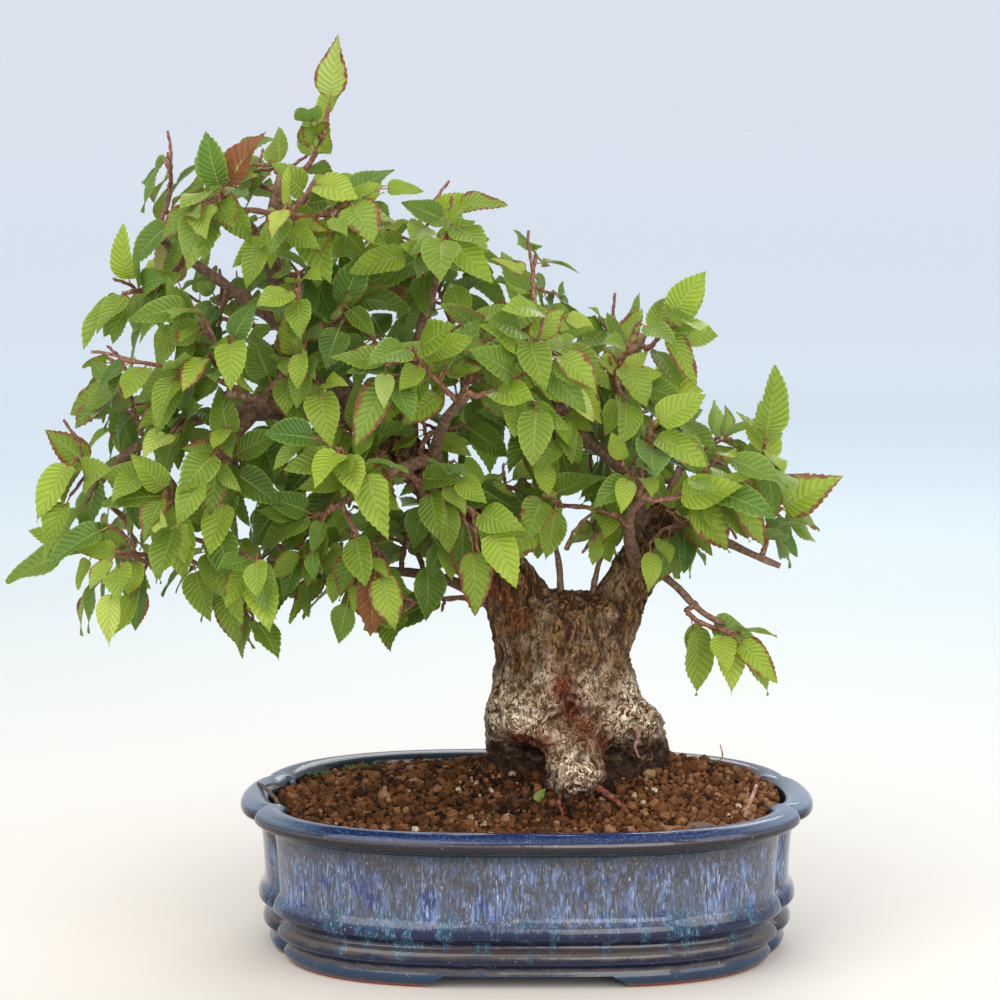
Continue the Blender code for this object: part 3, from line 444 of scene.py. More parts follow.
# On the short sides the lip is painted pale steel grey, a painted reflection, and at the back dark slate
aside = add(tree, "Math", {"operation": "ABSOLUTE"}, {0: across})
aside = add(tree, "MapRange", {"From Min": 0.080, "From Max": 0.112}, {"Value": aside})
steel_reflection = add(tree, "Math", {"operation": "MULTIPLY"}, {0: aside, 1: lip})
steel_reflection = add(tree, "Math", {"operation": "MULTIPLY", 1: 0.7}, {0: steel_reflection})
behind = add(tree, "MapRange", {"From Min": 0.005, "From Max": 0.045, "To Max": 0.9},
             {"Value": deep})
slate = add(tree, "Math", {"operation": "MULTIPLY"}, {0: behind, 1: lip})
# The inside wall faces the pot's middle and is dark slate
facing_way = add(tree, "NewGeometry", out="Normal")
outward = add(tree, "VectorMath", {"operation": "DOT_PRODUCT"}, {0: facing_way, 1: from_middle}, "Value")
inside = add(tree, "MapRange", {"From Min": -0.03, "From Max": -0.06},
             {"Value": outward})
# Specks of the base colour under a millimetre wide, drawn twice as large so that they show
specks = add(tree, "TexNoise", {"Scale": 800.0, "Detail": 1.0}, {"Vector": spot})
specks = add(tree, "MapRange", {"From Min": 0.71, "From Max": 0.77, "To Max": 0.5},
             {"Value": specks})
# The very bottom of the feet is wiped clean before firing
foot = add(tree, "MapRange", {"From Min": 0.0018, "From Max": 0.0010}, {"Value": height})
# The pale steel tone on the lip's short sides is a painted reflection
for tone, where in (("#7b8ea0", steel_reflection), ("#2a3644", slate), ("#161c26", inside), ("#a9a294", specks),
                    ("#9a4f38", foot)):
    layer = add(tree, "Mix", {"data_type": "RGBA", 7: shade(tone)}, {0: where, 6: layer})
gloss = add(tree, "MapRange", {"To Min": 0.11, "To Max": 0.85}, {"Value": foot})
tree.links.new(gloss, shader.inputs["Roughness"])
dimple = add(tree, "TexNoise", {"Scale": 150.0, "Detail": 2.0}, {"Vector": spot})
dress(tree, shader, layer, {"IOR": 1.52}, dimple, {"Strength": 0.14, "Distance": 0.001})
print("glaze nodes:", len(tree.nodes))

# %% Build the pot
ARCH_HALF_WIDTH = 41.0
ARCH_TOP_HALF_WIDTH = 34.0
ARCH_HEIGHT = 5.4
DRAIN_RADIUS = 7.0
DRAIN_X = 46.0
LIP_NOTCH_SHARE = 0.7
SHARP_CORNER = math.radians(38.0)


def apply_modifiers(thing):
    """Turn what an object's modifiers show into its mesh."""
    bpy.context.view_layer.update()
    graph = bpy.context.evaluated_depsgraph_get()
    shaped = bpy.data.meshes.new_from_object(thing.evaluated_get(graph))
    thing.modifiers.clear()
    thing.data = shaped


def cut(target, points, faces):
    """Take a closed shape away from a piece."""
    cutter = mesh_object("cutter", points, faces)
    shape = bmesh.new()
    shape.from_mesh(cutter.data)
    bmesh.ops.recalc_face_normals(shape, faces=shape.faces)
    shape.to_mesh(cutter.data)
    shape.free()
    modifier = target.modifiers.new("cut", "BOOLEAN")
    modifier.operation = "DIFFERENCE"
    modifier.solver = "MANIFOLD"
    modifier.object = cutter
    apply_modifiers(target)
    bpy.data.objects.remove(cutter, do_unlink=True)


# The notches are full on the wall and softer round the thick lip
wall_radii = np.array([lobe_radius(angle) for angle in angles])
lip_radii = np.array([lobe_radius(angle, NOTCH_DEPTH * LIP_NOTCH_SHARE) for angle in angles])
turns = np.array(angles)
rings = []
for inset, level in section:
    lip_share = min(1.0, max(0.0, (level - 52.0) / 6.0))
    reach = wall_radii + (lip_radii - wall_radii) * lip_share - inset
    rings.append(np.stack([reach * np.cos(turns), reach * np.sin(turns), np.full(len(turns), level)],
                          axis=1))
points, faces = loft([list(ring) for ring in rings])
pot = finish_mesh("glazed_pot", place_all(points), faces, [glaze])
for near, far in ((-100.0, -40.0), (40.0, 100.0)):
    arch = ((-ARCH_HALF_WIDTH, -3.0), (ARCH_HALF_WIDTH, -3.0), (ARCH_HALF_WIDTH, 0.6),
            (ARCH_TOP_HALF_WIDTH, ARCH_HEIGHT), (-ARCH_TOP_HALF_WIDTH, ARCH_HEIGHT),
            (-ARCH_HALF_WIDTH, 0.6))
    points, faces = loft([[(x, y, z) for x, z in arch] for y in (near, far)])
    cut(pot, place_all(points), faces)
for side in (-1.0, 1.0):
    ring = [(DRAIN_X * side + DRAIN_RADIUS * math.cos(t), DRAIN_RADIUS * math.sin(t))
            for t in np.linspace(0.0, 2.0 * math.pi, 40, endpoint=False)]
    points, faces = loft([[(x, y, z) for x, y in ring] for z in (-2.0, 18.0)])
    cut(pot, place_all(points), faces)
pot.data.polygons.foreach_set("use_smooth", [True] * len(pot.data.polygons))
pot.data.set_sharp_from_angle(angle=SHARP_CORNER)
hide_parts("pot")
print("pot faces:", len(pot.data.polygons))

# %% [markdown]
# ## Tubes for wood
# Limbs, twigs and leaf stalks are all round rods that bend and thin out. One function draws
# such a rod along a line of points. It turns the section a little from point to point, so
# that it never flips over.

# %% Draw a rod
def rod(path, radii, sides, knots=0.0, seed=0.0):
    """Points and faces of a rod along a path, in millimetres, with slight swellings."""
    path = [Vector(p) for p in path]
    points = []
    ahead = (path[1] - path[0]).normalized()
    first = ahead.orthogonal().normalized()
    for i, spot in enumerate(path):
        ahead = (path[min(i + 1, len(path) - 1)] - path[max(i - 1, 0)]).normalized()
        first = (first - ahead * first.dot(ahead)).normalized()
        second = ahead.cross(first)
        for j in range(sides):
            turn = 2.0 * math.pi * j / sides
            way = first * math.cos(turn) + second * math.sin(turn)
            reach = radii[i]
            if knots:
                bump_at = (spot + way * radii[i]) * 0.28 + Vector((seed, 0, 0))
                reach *= 1.0 + knots * noise.noise(bump_at)
            points.append(spot + way * reach)
    return points, wrap(len(path), sides)


def join_shape(points, faces, shape):
    """Add the points and faces of one shape to those of another."""
    faces += [tuple(v + len(points) for v in face) for face in shape[1]]
    points += shape[0]


short_rod = rod([(0, 0, 0), (0, 0, 10)], [1.0, 1.0], 6)
print("a rod of two rings has", len(short_rod[0]), "points")

# %% [markdown]
# ## The trunk's shape
# An old hornbeam lifted from the wild has a short thick trunk with burls, a hollow between
# them and a bulb of root wood at the front. Two stout limbs leave its crown. The plain solid
# gives the section at each height, and round swellings by angle and height. Here the same
# rule gives a close mesh. Limbs and trunk are then melted into one skin by a voxel remesh,
# which fills the crotches as growing wood does.

# %% Trunk rule
TRUNK_LEVELS = (
    (38.0, 22.0, 24.0, 33.0, 25.0), (54.0, 22.0, 24.0, 37.0, 28.0),
    (72.0, 22.0, 24.0, 38.5, 28.0), (90.0, 20.0, 21.0, 33.0, 26.0),
    (106.0, 17.0, 19.0, 29.0, 23.0), (120.0, 16.0, 18.0, 27.0, 21.0),
    (132.0, 15.5, 18.0, 29.0, 20.0), (141.0, 17.0, 18.0, 33.0, 18.0),
)
# Swellings and hollows: angle, height, amount, spread in degrees and in height
BUMPS = (
    (196.0, 92.0, 6.0, 40.0, 12.0), (-12.0, 88.0, 5.0, 34.0, 11.0), (268.0, 72.0, 15.0, 24.0, 12.0),
    (262.0, 97.0, -5.0, 15.0, 8.0), (229.0, 75.0, -8.0, 16.0, 7.0), (309.0, 77.0, -8.0, 14.0, 7.0),
    (75.0, 84.0, 5.0, 40.0, 12.0),
)
FINE_BUMPS = (
    (228.0, 96.0, 6.5, 22.0, 10.0), (318.0, 97.0, 5.5, 17.0, 9.0), (272.0, 103.0, -5.5, 8.0, 10.0),
    (258.0, 93.0, -4.0, 7.0, 7.0), (226.0, 77.0, -8.0, 14.0, 6.0), (311.0, 78.0, -8.0, 13.0, 6.0),
    (267.0, 78.0, 3.0, 15.0, 8.0), (288.0, 120.0, -3.0, 7.0, 16.0), (245.0, 122.0, 2.0, 12.0, 8.0),
    (120.0, 90.0, 4.0, 20.0, 9.0), (20.0, 104.0, 3.0, 16.0, 8.0), (60.0, 76.0, -5.0, 14.0, 7.0),
    (150.0, 78.0, -5.0, 14.0, 7.0), (168.0, 112.0, 2.5, 14.0, 7.0), (95.0, 118.0, -3.0, 10.0, 12.0),
)


def smooth_between(table, value):
    """A smooth reading of a table whose rows start with their place."""
    if value <= table[0][0]:
        return table[0][1:]
    for low, high in zip(table, table[1:]):
        if value <= high[0]:
            share = (value - low[0]) / (high[0] - low[0])
            share = share * share * (3.0 - 2.0 * share)
            return tuple(a + (b - a) * share for a, b in zip(low[1:], high[1:]))
    return table[-1][1:]


def trunk_point(angle, height, bumps=BUMPS):
    middle_x, middle_y, half_x, half_y = smooth_between(TRUNK_LEVELS, height)
    across = math.cos(angle) / half_x
    deep = math.sin(angle) / half_y
    radius = 1.0 / math.sqrt(across * across + deep * deep)
    for degrees, level, amount, spread, rise in bumps:
        off = math.degrees(math.remainder(angle - math.radians(degrees), 2.0 * math.pi))
        radius += amount * math.exp(-(off / spread) ** 2 - ((height - level) / rise) ** 2)
    return Vector((middle_x + radius * math.cos(angle), middle_y + radius * math.sin(angle), height))


def limb_path(row):
    """Points and radii along a limb, thinning evenly to its end."""
    start, end, points = row
    path = [Vector(p) for p in points]
    steps = [0.0]
    for a, b in zip(path, path[1:]):
        steps.append(steps[-1] + (b - a).length)
    radii = [start + (end - start) * (s / steps[-1]) ** 0.6 for s in steps]
    return path, radii


# Limbs: radius at the start and end, then the points that the limb runs through
LIMBS = {
    "left": (18.0, 6.6, (
        (6, 18, 117), (-4, 18, 143), (-11, 17, 155), (-18, 16, 164), (-26, 15, 175),
        (-40, 13, 193), (-52, 11, 209), (-63, 10, 218))),
    "left_top": (6.2, 2.4, (
        (-61, 10, 217), (-76, 8, 231), (-92, 9, 250), (-103, 12, 272), (-106, 12, 298),
        (-101, 10, 322))),
    "left_top_side": (3.6, 1.6, ((-94, 9, 254), (-118, 4, 272), (-140, -2, 288), (-156, -4, 300))),
    "left_top_front": (3.2, 1.5, (
        (-104, 12, 280), (-110, -8, 296), (-116, -26, 308), (-118, -40, 314))),
    "left_reach": (5.0, 1.8, (
        (-62, 10, 217), (-85, 0, 223), (-110, -6, 226), (-138, -6, 221), (-164, -4, 208),
        (-180, -4, 192))),
    "left_reach_front": (3.0, 1.5, ((-88, -1, 223), (-104, -26, 231), (-120, -48, 236))),
    "left_low": (3.4, 1.6, ((-112, -6, 226), (-128, -18, 204), (-140, -24, 182), (-150, -24, 162))),
    "left_back": (4.2, 1.7, ((-60, 11, 216), (-78, 34, 234), (-96, 54, 248), (-112, 66, 258))),
    "left_back_low": (3.0, 1.5, ((-98, -3, 224), (-122, 30, 218), (-142, 44, 206))),
    "middle": (4.8, 1.8, ((-50, 11, 207), (-48, 4, 236), (-42, 0, 264), (-34, -4, 292))),
    "middle_front": (4.2, 1.7, ((-36, 13, 188), (-38, -12, 208), (-32, -36, 226), (-24, -54, 236))),
    "middle_low": (3.0, 1.4, ((-38, -8, 206), (-56, -30, 202), (-78, -46, 190))),
    "middle_back": (3.8, 1.6, ((-47, 6, 232), (-40, 32, 246), (-32, 54, 258))),
    "back_low": (3.6, 1.5, ((-8, 26, 134), (-30, 42, 146), (-58, 50, 150), (-86, 52, 148))),
    "right": (17.0, 5.0, (
        (25, 19, 117), (40, 19, 143), (46, 18, 156), (52, 17, 167), (58, 14, 177), (66, 12, 183),
        (86, 9, 190))),
    "right_tip": (4.8, 2.0, ((84, 9, 189), (102, 8, 194), (118, 6, 196))),
    "right_up": (5.6, 1.8, ((50, 18, 162), (45, 14, 188), (40, 10, 214), (42, 5, 240), (48, 2, 256))),
    "right_up_left": (3.4, 1.5, ((44, 13, 196), (24, 4, 214), (8, -2, 236), (2, -4, 262))),
    "right_front": (3.8, 1.6, ((47, 17, 156), (42, -12, 174), (42, -36, 188), (48, -52, 196))),
    "right_back": (4.0, 1.6, ((52, 18, 166), (60, 40, 182), (68, 60, 196))),
    "right_low": (3.2, 1.3, ((58, 13, 176), (76, -4, 173), (92, -14, 167), (104, -16, 162))),
    "right_drop": (2.2, 1.2, ((50, 16, 158), (60, 2, 153), (72, -8, 142), (82, -12, 137))),
}
# Limbs thicker than this at the start belong to the trunk's own skin
STOUT_LIMB = 7.0
print("limbs:", len(LIMBS), "of which stout:", sum(row[0] > STOUT_LIMB for row in LIMBS.values()))

# %% [markdown]
# ## Bark
# Hornbeam bark is smooth grey on young wood. This old trunk is knobbly and worm-eaten: pale
# warm tan strands with dark gaps low down, brown fibrous bark above and rust-red wood in the
# hollow. Round the base, in the hollows and under the burls, it is painted dark brown as
# painted shade, and every groove takes painted shade by its depth. Which part is which
# depends on place and on how deep a groove is, so those are worked out on every point of the
# mesh. The strands are finer than the mesh, so the material draws them from a noise that
# another noise has bent: its low parts are the gaps. It is drawn out upright, a little for
# the pale strands and more for the fibres above. The same pattern colours the bark and raises
# it, so each gap is deep and darker, partly as painted shade. Weathered bark is dry and
# mirrors almost nothing.

# %% Make the bark
bark, tree, shader, spot = start_material("old_hornbeam_bark")
tones = add(tree, "Attribute", {"attribute_name": "bark_tone"}, out="Vector")
pale, red, dark = add(tree, "SeparateXYZ", links={0: tones}).node.outputs
groove = add(tree, "Attribute", {"attribute_name": "bark_groove"}, out="Fac")


def strands(width, length, bend, seed):
    """0 in the gap between two strands of that size in millimetres, up to 1 on top."""
    swirl = add(tree, "TexNoise", {"Scale": 110.0 + seed, "Detail": 2.0}, {"Vector": spot}, "Color")
    swirl = add(tree, "VectorMath", {"operation": "SUBTRACT", 1: (0.5, 0.5, 0.5)},
                {0: swirl})
    swirl = add(tree, "VectorMath", {"operation": "MULTIPLY_ADD", 1: (bend * MM,) * 3},
                {0: swirl, 2: spot})
    drawn = add(tree, "Mapping", {"Scale": (1000.0 / width, 1000.0 / width, 1000.0 / length)},
                {"Vector": swirl})
    fuzz = add(tree, "TexNoise", {"Scale": 1.0, "Detail": 4.0, "Roughness": 0.62, "Distortion": 0.6},
               {"Vector": drawn})
    return add(tree, "MapRange", {"From Min": 0.37, "From Max": 0.55},
               {"Value": fuzz})


worms = strands(1.3, 3.6, 16.0, 0.0)
fibres = strands(1.3, 9.0, 8.0, 30.0)
grain = add(tree, "TexNoise", {"Scale": 900.0, "Detail": 4.0, "Roughness": 0.7}, {"Vector": spot})
patch = add(tree, "TexNoise", {"Scale": 95.0, "Detail": 4.0, "Roughness": 0.6}, {"Vector": spot})
worms_tone = add(tree, "Math", {"operation": "MULTIPLY_ADD", 1: 0.3}, {0: grain, 2: worms})
# The dark low end of the strands' ramps colours each gap, partly as painted shade
white = add(tree, "ValToRGB", {"stops": ((0.16, "#321706"), (0.40, "#8a5930"), (0.66, "#cda072"),
                                         (0.88, "#eccca4"), (1.0, "#fdebd2"))},
            {0: worms_tone})
fibres_tone = add(tree, "Math", {"operation": "MULTIPLY_ADD", 1: 0.35},
                  {0: grain, 2: fibres})
brown = add(tree, "ValToRGB", {"stops": ((0.16, "#261506"), (0.45, "#4d3018"), (0.80, "#705031"),
                                         (1.0, "#8c6844"))}, {0: fibres_tone})
mossy = add(tree, "ValToRGB", {"stops": ((0.52, 0.0), (0.68, 0.35))}, {0: patch})
brown = add(tree, "Mix", {"data_type": "RGBA", 7: shade("#77703f")},
            {0: mossy, 6: brown})
wood = add(tree, "Mix", {"data_type": "RGBA"}, {0: pale, 6: brown, 7: white})
rusty = add(tree, "ValToRGB", {"stops": ((0.2, "#2c1006"), (0.6, "#6f3119"), (1.0, "#9a5632"))},
            {0: worms_tone})
wood = add(tree, "Mix", {"data_type": "RGBA"},
           {0: red, 6: wood, 7: rusty})
# Painted shade in every groove, by its depth
wood = add(tree, "Mix", {"data_type": "RGBA", 7: shade("#3a1f0e")}, {0: groove, 6: wood})
# Painted shade low on the trunk, under the burls and in the hollows, darkens the bark
wood = add(tree, "Mix", {"data_type": "RGBA", "blend_type": "MULTIPLY", 7: shade("#593a2a")},
           {0: dark, 6: wood})
raised = add(tree, "Mix", {"data_type": "FLOAT"}, {0: pale, 2: fibres, 3: worms})
raised = add(tree, "Math", {"operation": "MULTIPLY_ADD", 1: 0.35},
             {0: grain, 2: raised})
dress(tree, shader, wood, {"Roughness": 0.85, "Specular IOR Level": 0.25}, raised,
      {"Strength": 1.0, "Distance": 0.0011})
print("bark nodes:", len(tree.nodes))

# %% Build the trunk
VOXEL = 0.00085
TRUNK_TURNS = 150


def split_rows(line):
    """Places and radii of a line whose rows hold both."""
    return [Vector(p[:3]) for p in line], [float(p[3]) for p in line]


def smooth_limb(row, step):
    """A limb's path as an even smooth curve, with a radius at each point."""
    path, radii = limb_path(row)
    rows = [(*p, r) for p, r in zip(path, radii)]
    coarse = curve_through(rows, 8)
    line, last = [coarse[0]], coarse[0]
    for row4 in coarse[1:]:
        if np.linalg.norm(row4[:3] - last[:3]) >= step:
            line.append(row4)
            last = row4
    line.append(coarse[-1])
    return split_rows(line)


turns = [2.0 * math.pi * j / TRUNK_TURNS for j in range(TRUNK_TURNS)]
levels_up = [50.0 + 2.0 * k for k in range(45)]
rings = [[trunk_point(turn, level, BUMPS + FINE_BUMPS) for turn in turns] for level in levels_up]
top = rings[-1]
middle = sum(top, Vector()) / TRUNK_TURNS
for level, share in ((141.0, 0.9), (144.0, 0.7), (146.0, 0.4)):
    rings.append([Vector((middle.x + (p.x - middle.x) * share, middle.y + (p.y - middle.y) * share,
                          level)) for p in top])
points, faces = loft(rings)
for name in ("left", "right"):
    path, radii = smooth_limb(LIMBS[name], 4.0)
    join_shape(points, faces, rod(path, radii, 28))
trunk = finish_mesh("knobbly_trunk", place_all(points), faces, [bark])
melt = trunk.modifiers.new("melt", "REMESH")
melt.mode = "VOXEL"
melt.voxel_size = VOXEL
soften = trunk.modifiers.new("soften", "SMOOTH")
soften.factor = 0.5
soften.iterations = 14
apply_modifiers(trunk)
print("trunk faces:", len(trunk.data.polygons))

# %% [markdown]
# ## Knobs and grooves
# Two patterns move the points of the mesh out and in. The knobs come from a cell pattern:
# every point of space belongs to its nearest seed, and the borders between cells become
# grooves. The folds between them come from a smooth noise, which stands highest where it
# changes sign, and so gives lines that wander. Space is warped first, which bends both into
# the worm-like shapes of this bark. Higher up the folds are stretched along the wood and
# take over, which reads as fibres. Blender starts the noise that warps space from the clock
# unless a script sets its seed, and then each run would grow another bark.

# %% Press the knobs into the trunk
BARK_SEED = 1796092596
noise.seed_set(BARK_SEED)


def cell_rise(spot, size, stretch, warp):
    """0 in the groove between two cells, up to 1 on the knob."""
    bent = spot + noise.noise_vector(spot * 0.11) * warp
    bent = Vector((bent.x / size, bent.y / size, bent.z / (size * stretch)))
    near = noise.voronoi(bent)[0]
    return min(1.0, (near[1] - near[0]) * 1.7)


def wrinkle(spot, width, stretch, warp):
    """Folds that wander through the bark: 0 between them, up to 1 on top."""
    bent = spot + noise.noise_vector(spot * 0.09) * warp
    bent = Vector((bent.x / width, bent.y / width, bent.z / (width * stretch)))
    first = 1.0 - abs(noise.noise(bent)) * 2.4
    second = 1.0 - abs(noise.noise(bent * 2.1 + Vector((7.0, 3.0, 1.0)))) * 2.4
    return max(0.0, 0.68 * first + 0.32 * second)


def ease(value, low, high):
    """0 below low, 1 above high, smooth between."""
    share = min(1.0, max(0.0, (value - low) / (high - low)))
    return share * share * (3.0 - 2.0 * share)


# Places of painted shade in the hollows and under the burls round the base, and rusty places: degrees,
# height, spread in degrees and in height
SHADED_PLACES = (
    (229.0, 80.0, 17.0, 6.0), (309.0, 80.0, 15.0, 6.0), (205.0, 79.0, 22.0, 4.0),
    (335.0, 80.0, 20.0, 5.0), (60.0, 77.0, 18.0, 6.0), (150.0, 77.0, 18.0, 6.0),
)
RUSTY_PLACES = (
    (259.0, 108.0, 8.0, 8.0), (266.0, 99.0, 10.0, 8.0), (277.0, 91.0, 9.0, 7.0),
    (248.0, 84.0, 9.0, 7.0), (290.0, 84.0, 9.0, 7.0), (236.0, 87.0, 14.0, 4.0),
)


def nearness(angle, height, row):
    """1 in the middle of a place on the trunk, falling smoothly to 0 round it."""
    degrees, level, spread, rise = row
    off = math.degrees(math.remainder(math.radians(angle - degrees), 2.0 * math.pi))
    return math.exp(-(off / spread) ** 2 - ((height - level) / rise) ** 2)


mesh = trunk.data
places, grooves, tones = [], [], []
for vertex in mesh.vertices:
    spot = vertex.co / MM - SHIFT
    low = 1.0 - ease(spot.z, 104.0, 126.0)
    knob = cell_rise(spot, 5.4, 0.8, 6.0)
    small = wrinkle(spot, 4.4, 1.0, 7.0)
    fibre = wrinkle(spot, 4.2, 5.0, 6.0)
    lump = noise.noise(spot * 0.07)
    rise = low * (0.7 * (knob - 0.55) + 1.5 * (small - 0.5))
    rise += (1.0 - low) * (1.9 * (fibre - 0.5) + 0.4 * (small - 0.5))
    rise += 1.5 * lump
    places.append((spot, vertex.normal.copy(), rise))
    # Painted shade: the deeper a point lies between knobs and folds, the darker its groove colour
    hollow = 1.0 - (knob * 0.3 + small * 0.7) * low - (fibre * 0.8 + small * 0.2) * (1.0 - low)
    grooves.append(ease(hollow, 0.50, 0.90) * 0.75)
    angle = math.degrees(math.atan2((spot.y - 21.0) / 26.0, (spot.x - 20.0) / 34.0)) % 360.0
    bulb = nearness(angle, spot.z, (269.0, 74.0, 15.0, 13.0))
    left_burl = nearness(angle, spot.z, (222.0, 97.0, 34.0, 13.0))
    right_burl = nearness(angle, spot.z, (325.0, 99.0, 30.0, 14.0))
    blotch = noise.noise(spot * 0.09 + Vector((9.0, 0.0, 0.0)))
    # The right burl is painted paler than the left, partly as paler bark and partly as painted light from
    # the right front
    pale = max(bulb * 1.5, left_burl * 1.1, right_burl * 1.7, 0.60 * (1.0 - ease(spot.z, 100.0, 130.0)))
    pale = min(1.0, max(0.0, pale + 0.45 * blotch))
    rust = max(nearness(angle, spot.z, row) for row in RUSTY_PLACES)
    rust += 0.5 * ease(noise.noise(spot * 0.10 + Vector((0.0, 30.0, 0.0))), 0.25, 0.55)
    # Painted shade: the bark darkens just above the soil, under the burls and in the hollows, but not on
    # the bulb
    wet = 1.0 - ease(spot.z + 4.0 * blotch + 13.0 * bulb, 74.0, 82.0)
    wet = max(wet, max(nearness(angle, spot.z, row) for row in SHADED_PLACES))
    wet = min(0.88, wet * (1.0 - 0.8 * min(1.0, bulb)))
    tones.append((pale * (1.0 - 0.6 * wet), min(1.0, rust * 1.1) * (1.0 - 0.8 * bulb), wet))
moved = [tuple((spot + normal * rise + SHIFT) * MM) for spot, normal, rise in places]
mesh.vertices.foreach_set("co", np.array(moved, np.float32).ravel())
mesh.polygons.foreach_set("use_smooth", [True] * len(mesh.polygons))
mesh.materials.clear()
mesh.materials.append(bark)
mesh.update()
write_tone(trunk, "bark_groove", "FLOAT", grooves)
write_tone(trunk, "bark_tone", "FLOAT_VECTOR", tones)
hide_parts("trunk")
print("trunk points pressed:", len(places))

# %% [markdown]
# ## Limbs
# The thinner limbs are one piece too. Each runs on a smooth curve through the plain solid's
# points, starts inside the wood that carries it, and has slight swellings, because a branch
# thickens wherever a bud or a cut was.

# %% Build the limbs
def grainy_material(name, tones, scale, detail, constants, relief=None, fineness=0.5):
    """A material coloured by one fine noise, which raises it too where relief is given."""
    made, tree, shader, spot = start_material(name)
    if isinstance(scale, tuple):
        spot = add(tree, "Mapping", {"Scale": scale}, {"Vector": spot})
        scale = 1.0
    grain = add(tree, "TexNoise", {"Scale": scale, "Detail": detail, "Roughness": fineness},
                {"Vector": spot})
    tint = add(tree, "ValToRGB", {"stops": tones}, {0: grain})
    dress(tree, shader, tint, constants, grain, relief)
    return made


# Young bark is thin and tight, so it has a faint sheen and scars of one or two millimetres
young = grainy_material(
    "young_hornbeam_bark", ((0.28, "#3f2c20"), (0.45, "#6f5140"), (0.6, "#8d705a"), (0.75, "#b39a80")),
    520.0, 5.0, {"Roughness": 0.7, "Specular IOR Level": 0.35}, {"Strength": 0.6, "Distance": 0.0006}, 0.7)

points, faces = [], []
for order, (name, row) in enumerate(LIMBS.items()):
    if row[0] > STOUT_LIMB:
        continue
    path, radii = smooth_limb(row, 2.2)
    knobs = [r * (1.0 + 0.10 * noise.noise(p * 0.16)) for p, r in zip(path, radii)]
    join_shape(points, faces, rod(path, knobs, 12, knots=0.22, seed=order * 7.0))
limbs = finish_mesh("limbs", place_all(points), faces, [young])
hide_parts("trunk")
print("limb faces:", len(limbs.data.polygons))

# %% [markdown]
# ## Soil
# The pot is filled with baked clay granules, up to six millimetres across, mounded up to
# the trunk. The plain solid is the bulk under them and keeps its place, in a dark earth
# colour. On it lie several thousand separate granules. Each is a rough ball, turned and
# squashed at random, and gets one number that picks its colour, from nearly black wet clay
# to a few pale pumice grains.

# %% Soil height and a free place for a grain
SOIL_EDGE = 58.5
SOIL_MOUND = 16.0
MOUND_X, MOUND_Y = 22.0, 26.0
MOUND_WIDTH, MOUND_DEPTH = 74.0, 36.0
WALL_INSET = 13.4
TRUNK_X, TRUNK_Y = 21.0, 23.0
CHIP_X, CHIP_Y = 70.0, -46.0
CHIP_HALF_WIDTH, CHIP_HALF_DEPTH = 6.0, 3.6
MOST_FINE_GRAINS = 6500


def soil_height(x, y):
    mound = math.exp(-((x - MOUND_X) / MOUND_WIDTH) ** 2 - ((y - MOUND_Y) / MOUND_DEPTH) ** 2)
    return SOIL_EDGE + SOIL_MOUND * mound


def on_soil(x, y, radius):
    """True where a grain of that radius lies inside the pot and outside the trunk."""
    if math.hypot(x, y) > lobe_radius(math.atan2(y, x)) - WALL_INSET - radius * 0.8:
        return False
    # The chip of bark lies on top of the grains, so none lies over it
    wide, deep = CHIP_HALF_WIDTH + radius * 0.5, CHIP_HALF_DEPTH + radius * 0.5
    if abs(x - CHIP_X) < wide and abs(y - CHIP_Y) < deep:
        return False
    angle = math.atan2(y - TRUNK_Y, x - TRUNK_X)
    edge = trunk_point(angle, min(88.0, soil_height(x, y) + 1.0))
    wood = math.hypot(edge.x - TRUNK_X, edge.y - TRUNK_Y)
    return math.hypot(x - TRUNK_X, y - TRUNK_Y) > wood - 0.6


def scatter(source, low, high, closeness, tries):
    """Places for grains that keep a share of their widths apart."""
    cell = high * 2.0
    grid, found = {}, []
    for _ in range(tries):
        x, y = source.uniform(-108.0, 108.0), source.uniform(-75.0, 75.0)
        radius = low + (high - low) * source.random() ** 1.6
        if not on_soil(x, y, radius):
            continue
        column, row = int(x // cell), int(y // cell)
        near = [g for i in (-1, 0, 1) for j in (-1, 0, 1) for g in grid.get((column + i, row + j), ())]
        if any(math.hypot(x - a, y - b) < (radius + r) * closeness for a, b, r in near):
            continue
        grid.setdefault((column, row), []).append((x, y, radius))
        found.append((x, y, radius))
    return found


print("soil is", round(soil_height(MOUND_X, MOUND_Y), 1), "mm high at the mound")

# %% Make the clay granules' material
clay_grain, tree, shader, spot = start_material("fired_clay_granules")
pick = add(tree, "Attribute", {"attribute_name": "grain_tone"}, out="Fac")
base = add(tree, "ValToRGB", {"stops": (
    (0.0, "#1e0d05"), (0.2, "#432610"), (0.45, "#6b4222"), (0.7, "#885a36"), (0.88, "#a37048"),
    (0.93, "#b08c68"), (0.97, "#c6ad88"), (1.0, "#ddd0b4"))}, {0: pick})
# Crumbs and pores from a millimetre downward; fired clay is matt, so only they catch the light
pores = add(tree, "TexNoise", {"Scale": 800.0, "Detail": 4.0, "Roughness": 0.7}, {"Vector": spot})
spread = add(tree, "ValToRGB", {"stops": ((0.38, 0.35), (0.6, 1.0))}, {0: pores})
mixed = add(tree, "Mix", {"data_type": "RGBA", "blend_type": "MULTIPLY", 0: 0.75},
            {6: base, 7: spread})
dress(tree, shader, mixed, {"Roughness": 0.9, "Specular IOR Level": 0.2}, pores,
      {"Strength": 1.0, "Distance": 0.0010})

earth, tree, shader, spot = start_material("dark_clay_bulk")
crumb = add(tree, "TexVoronoi", {"Scale": 420.0}, {"Vector": spot})
tint = add(tree, "ValToRGB", {"stops": ((0.0, "#5a3624"), (0.6, "#3a2419"), (1.0, "#22150f"))},
           {0: crumb})
dress(tree, shader, tint, {"Roughness": 0.95}, crumb,
      {"Strength": 1.0, "Distance": 0.0015, "invert": True})
for cad_slot in frame["nodes"]["soil"].material_slots:
    cad_slot.material = earth
print("the soil's bulk keeps its plain solid")

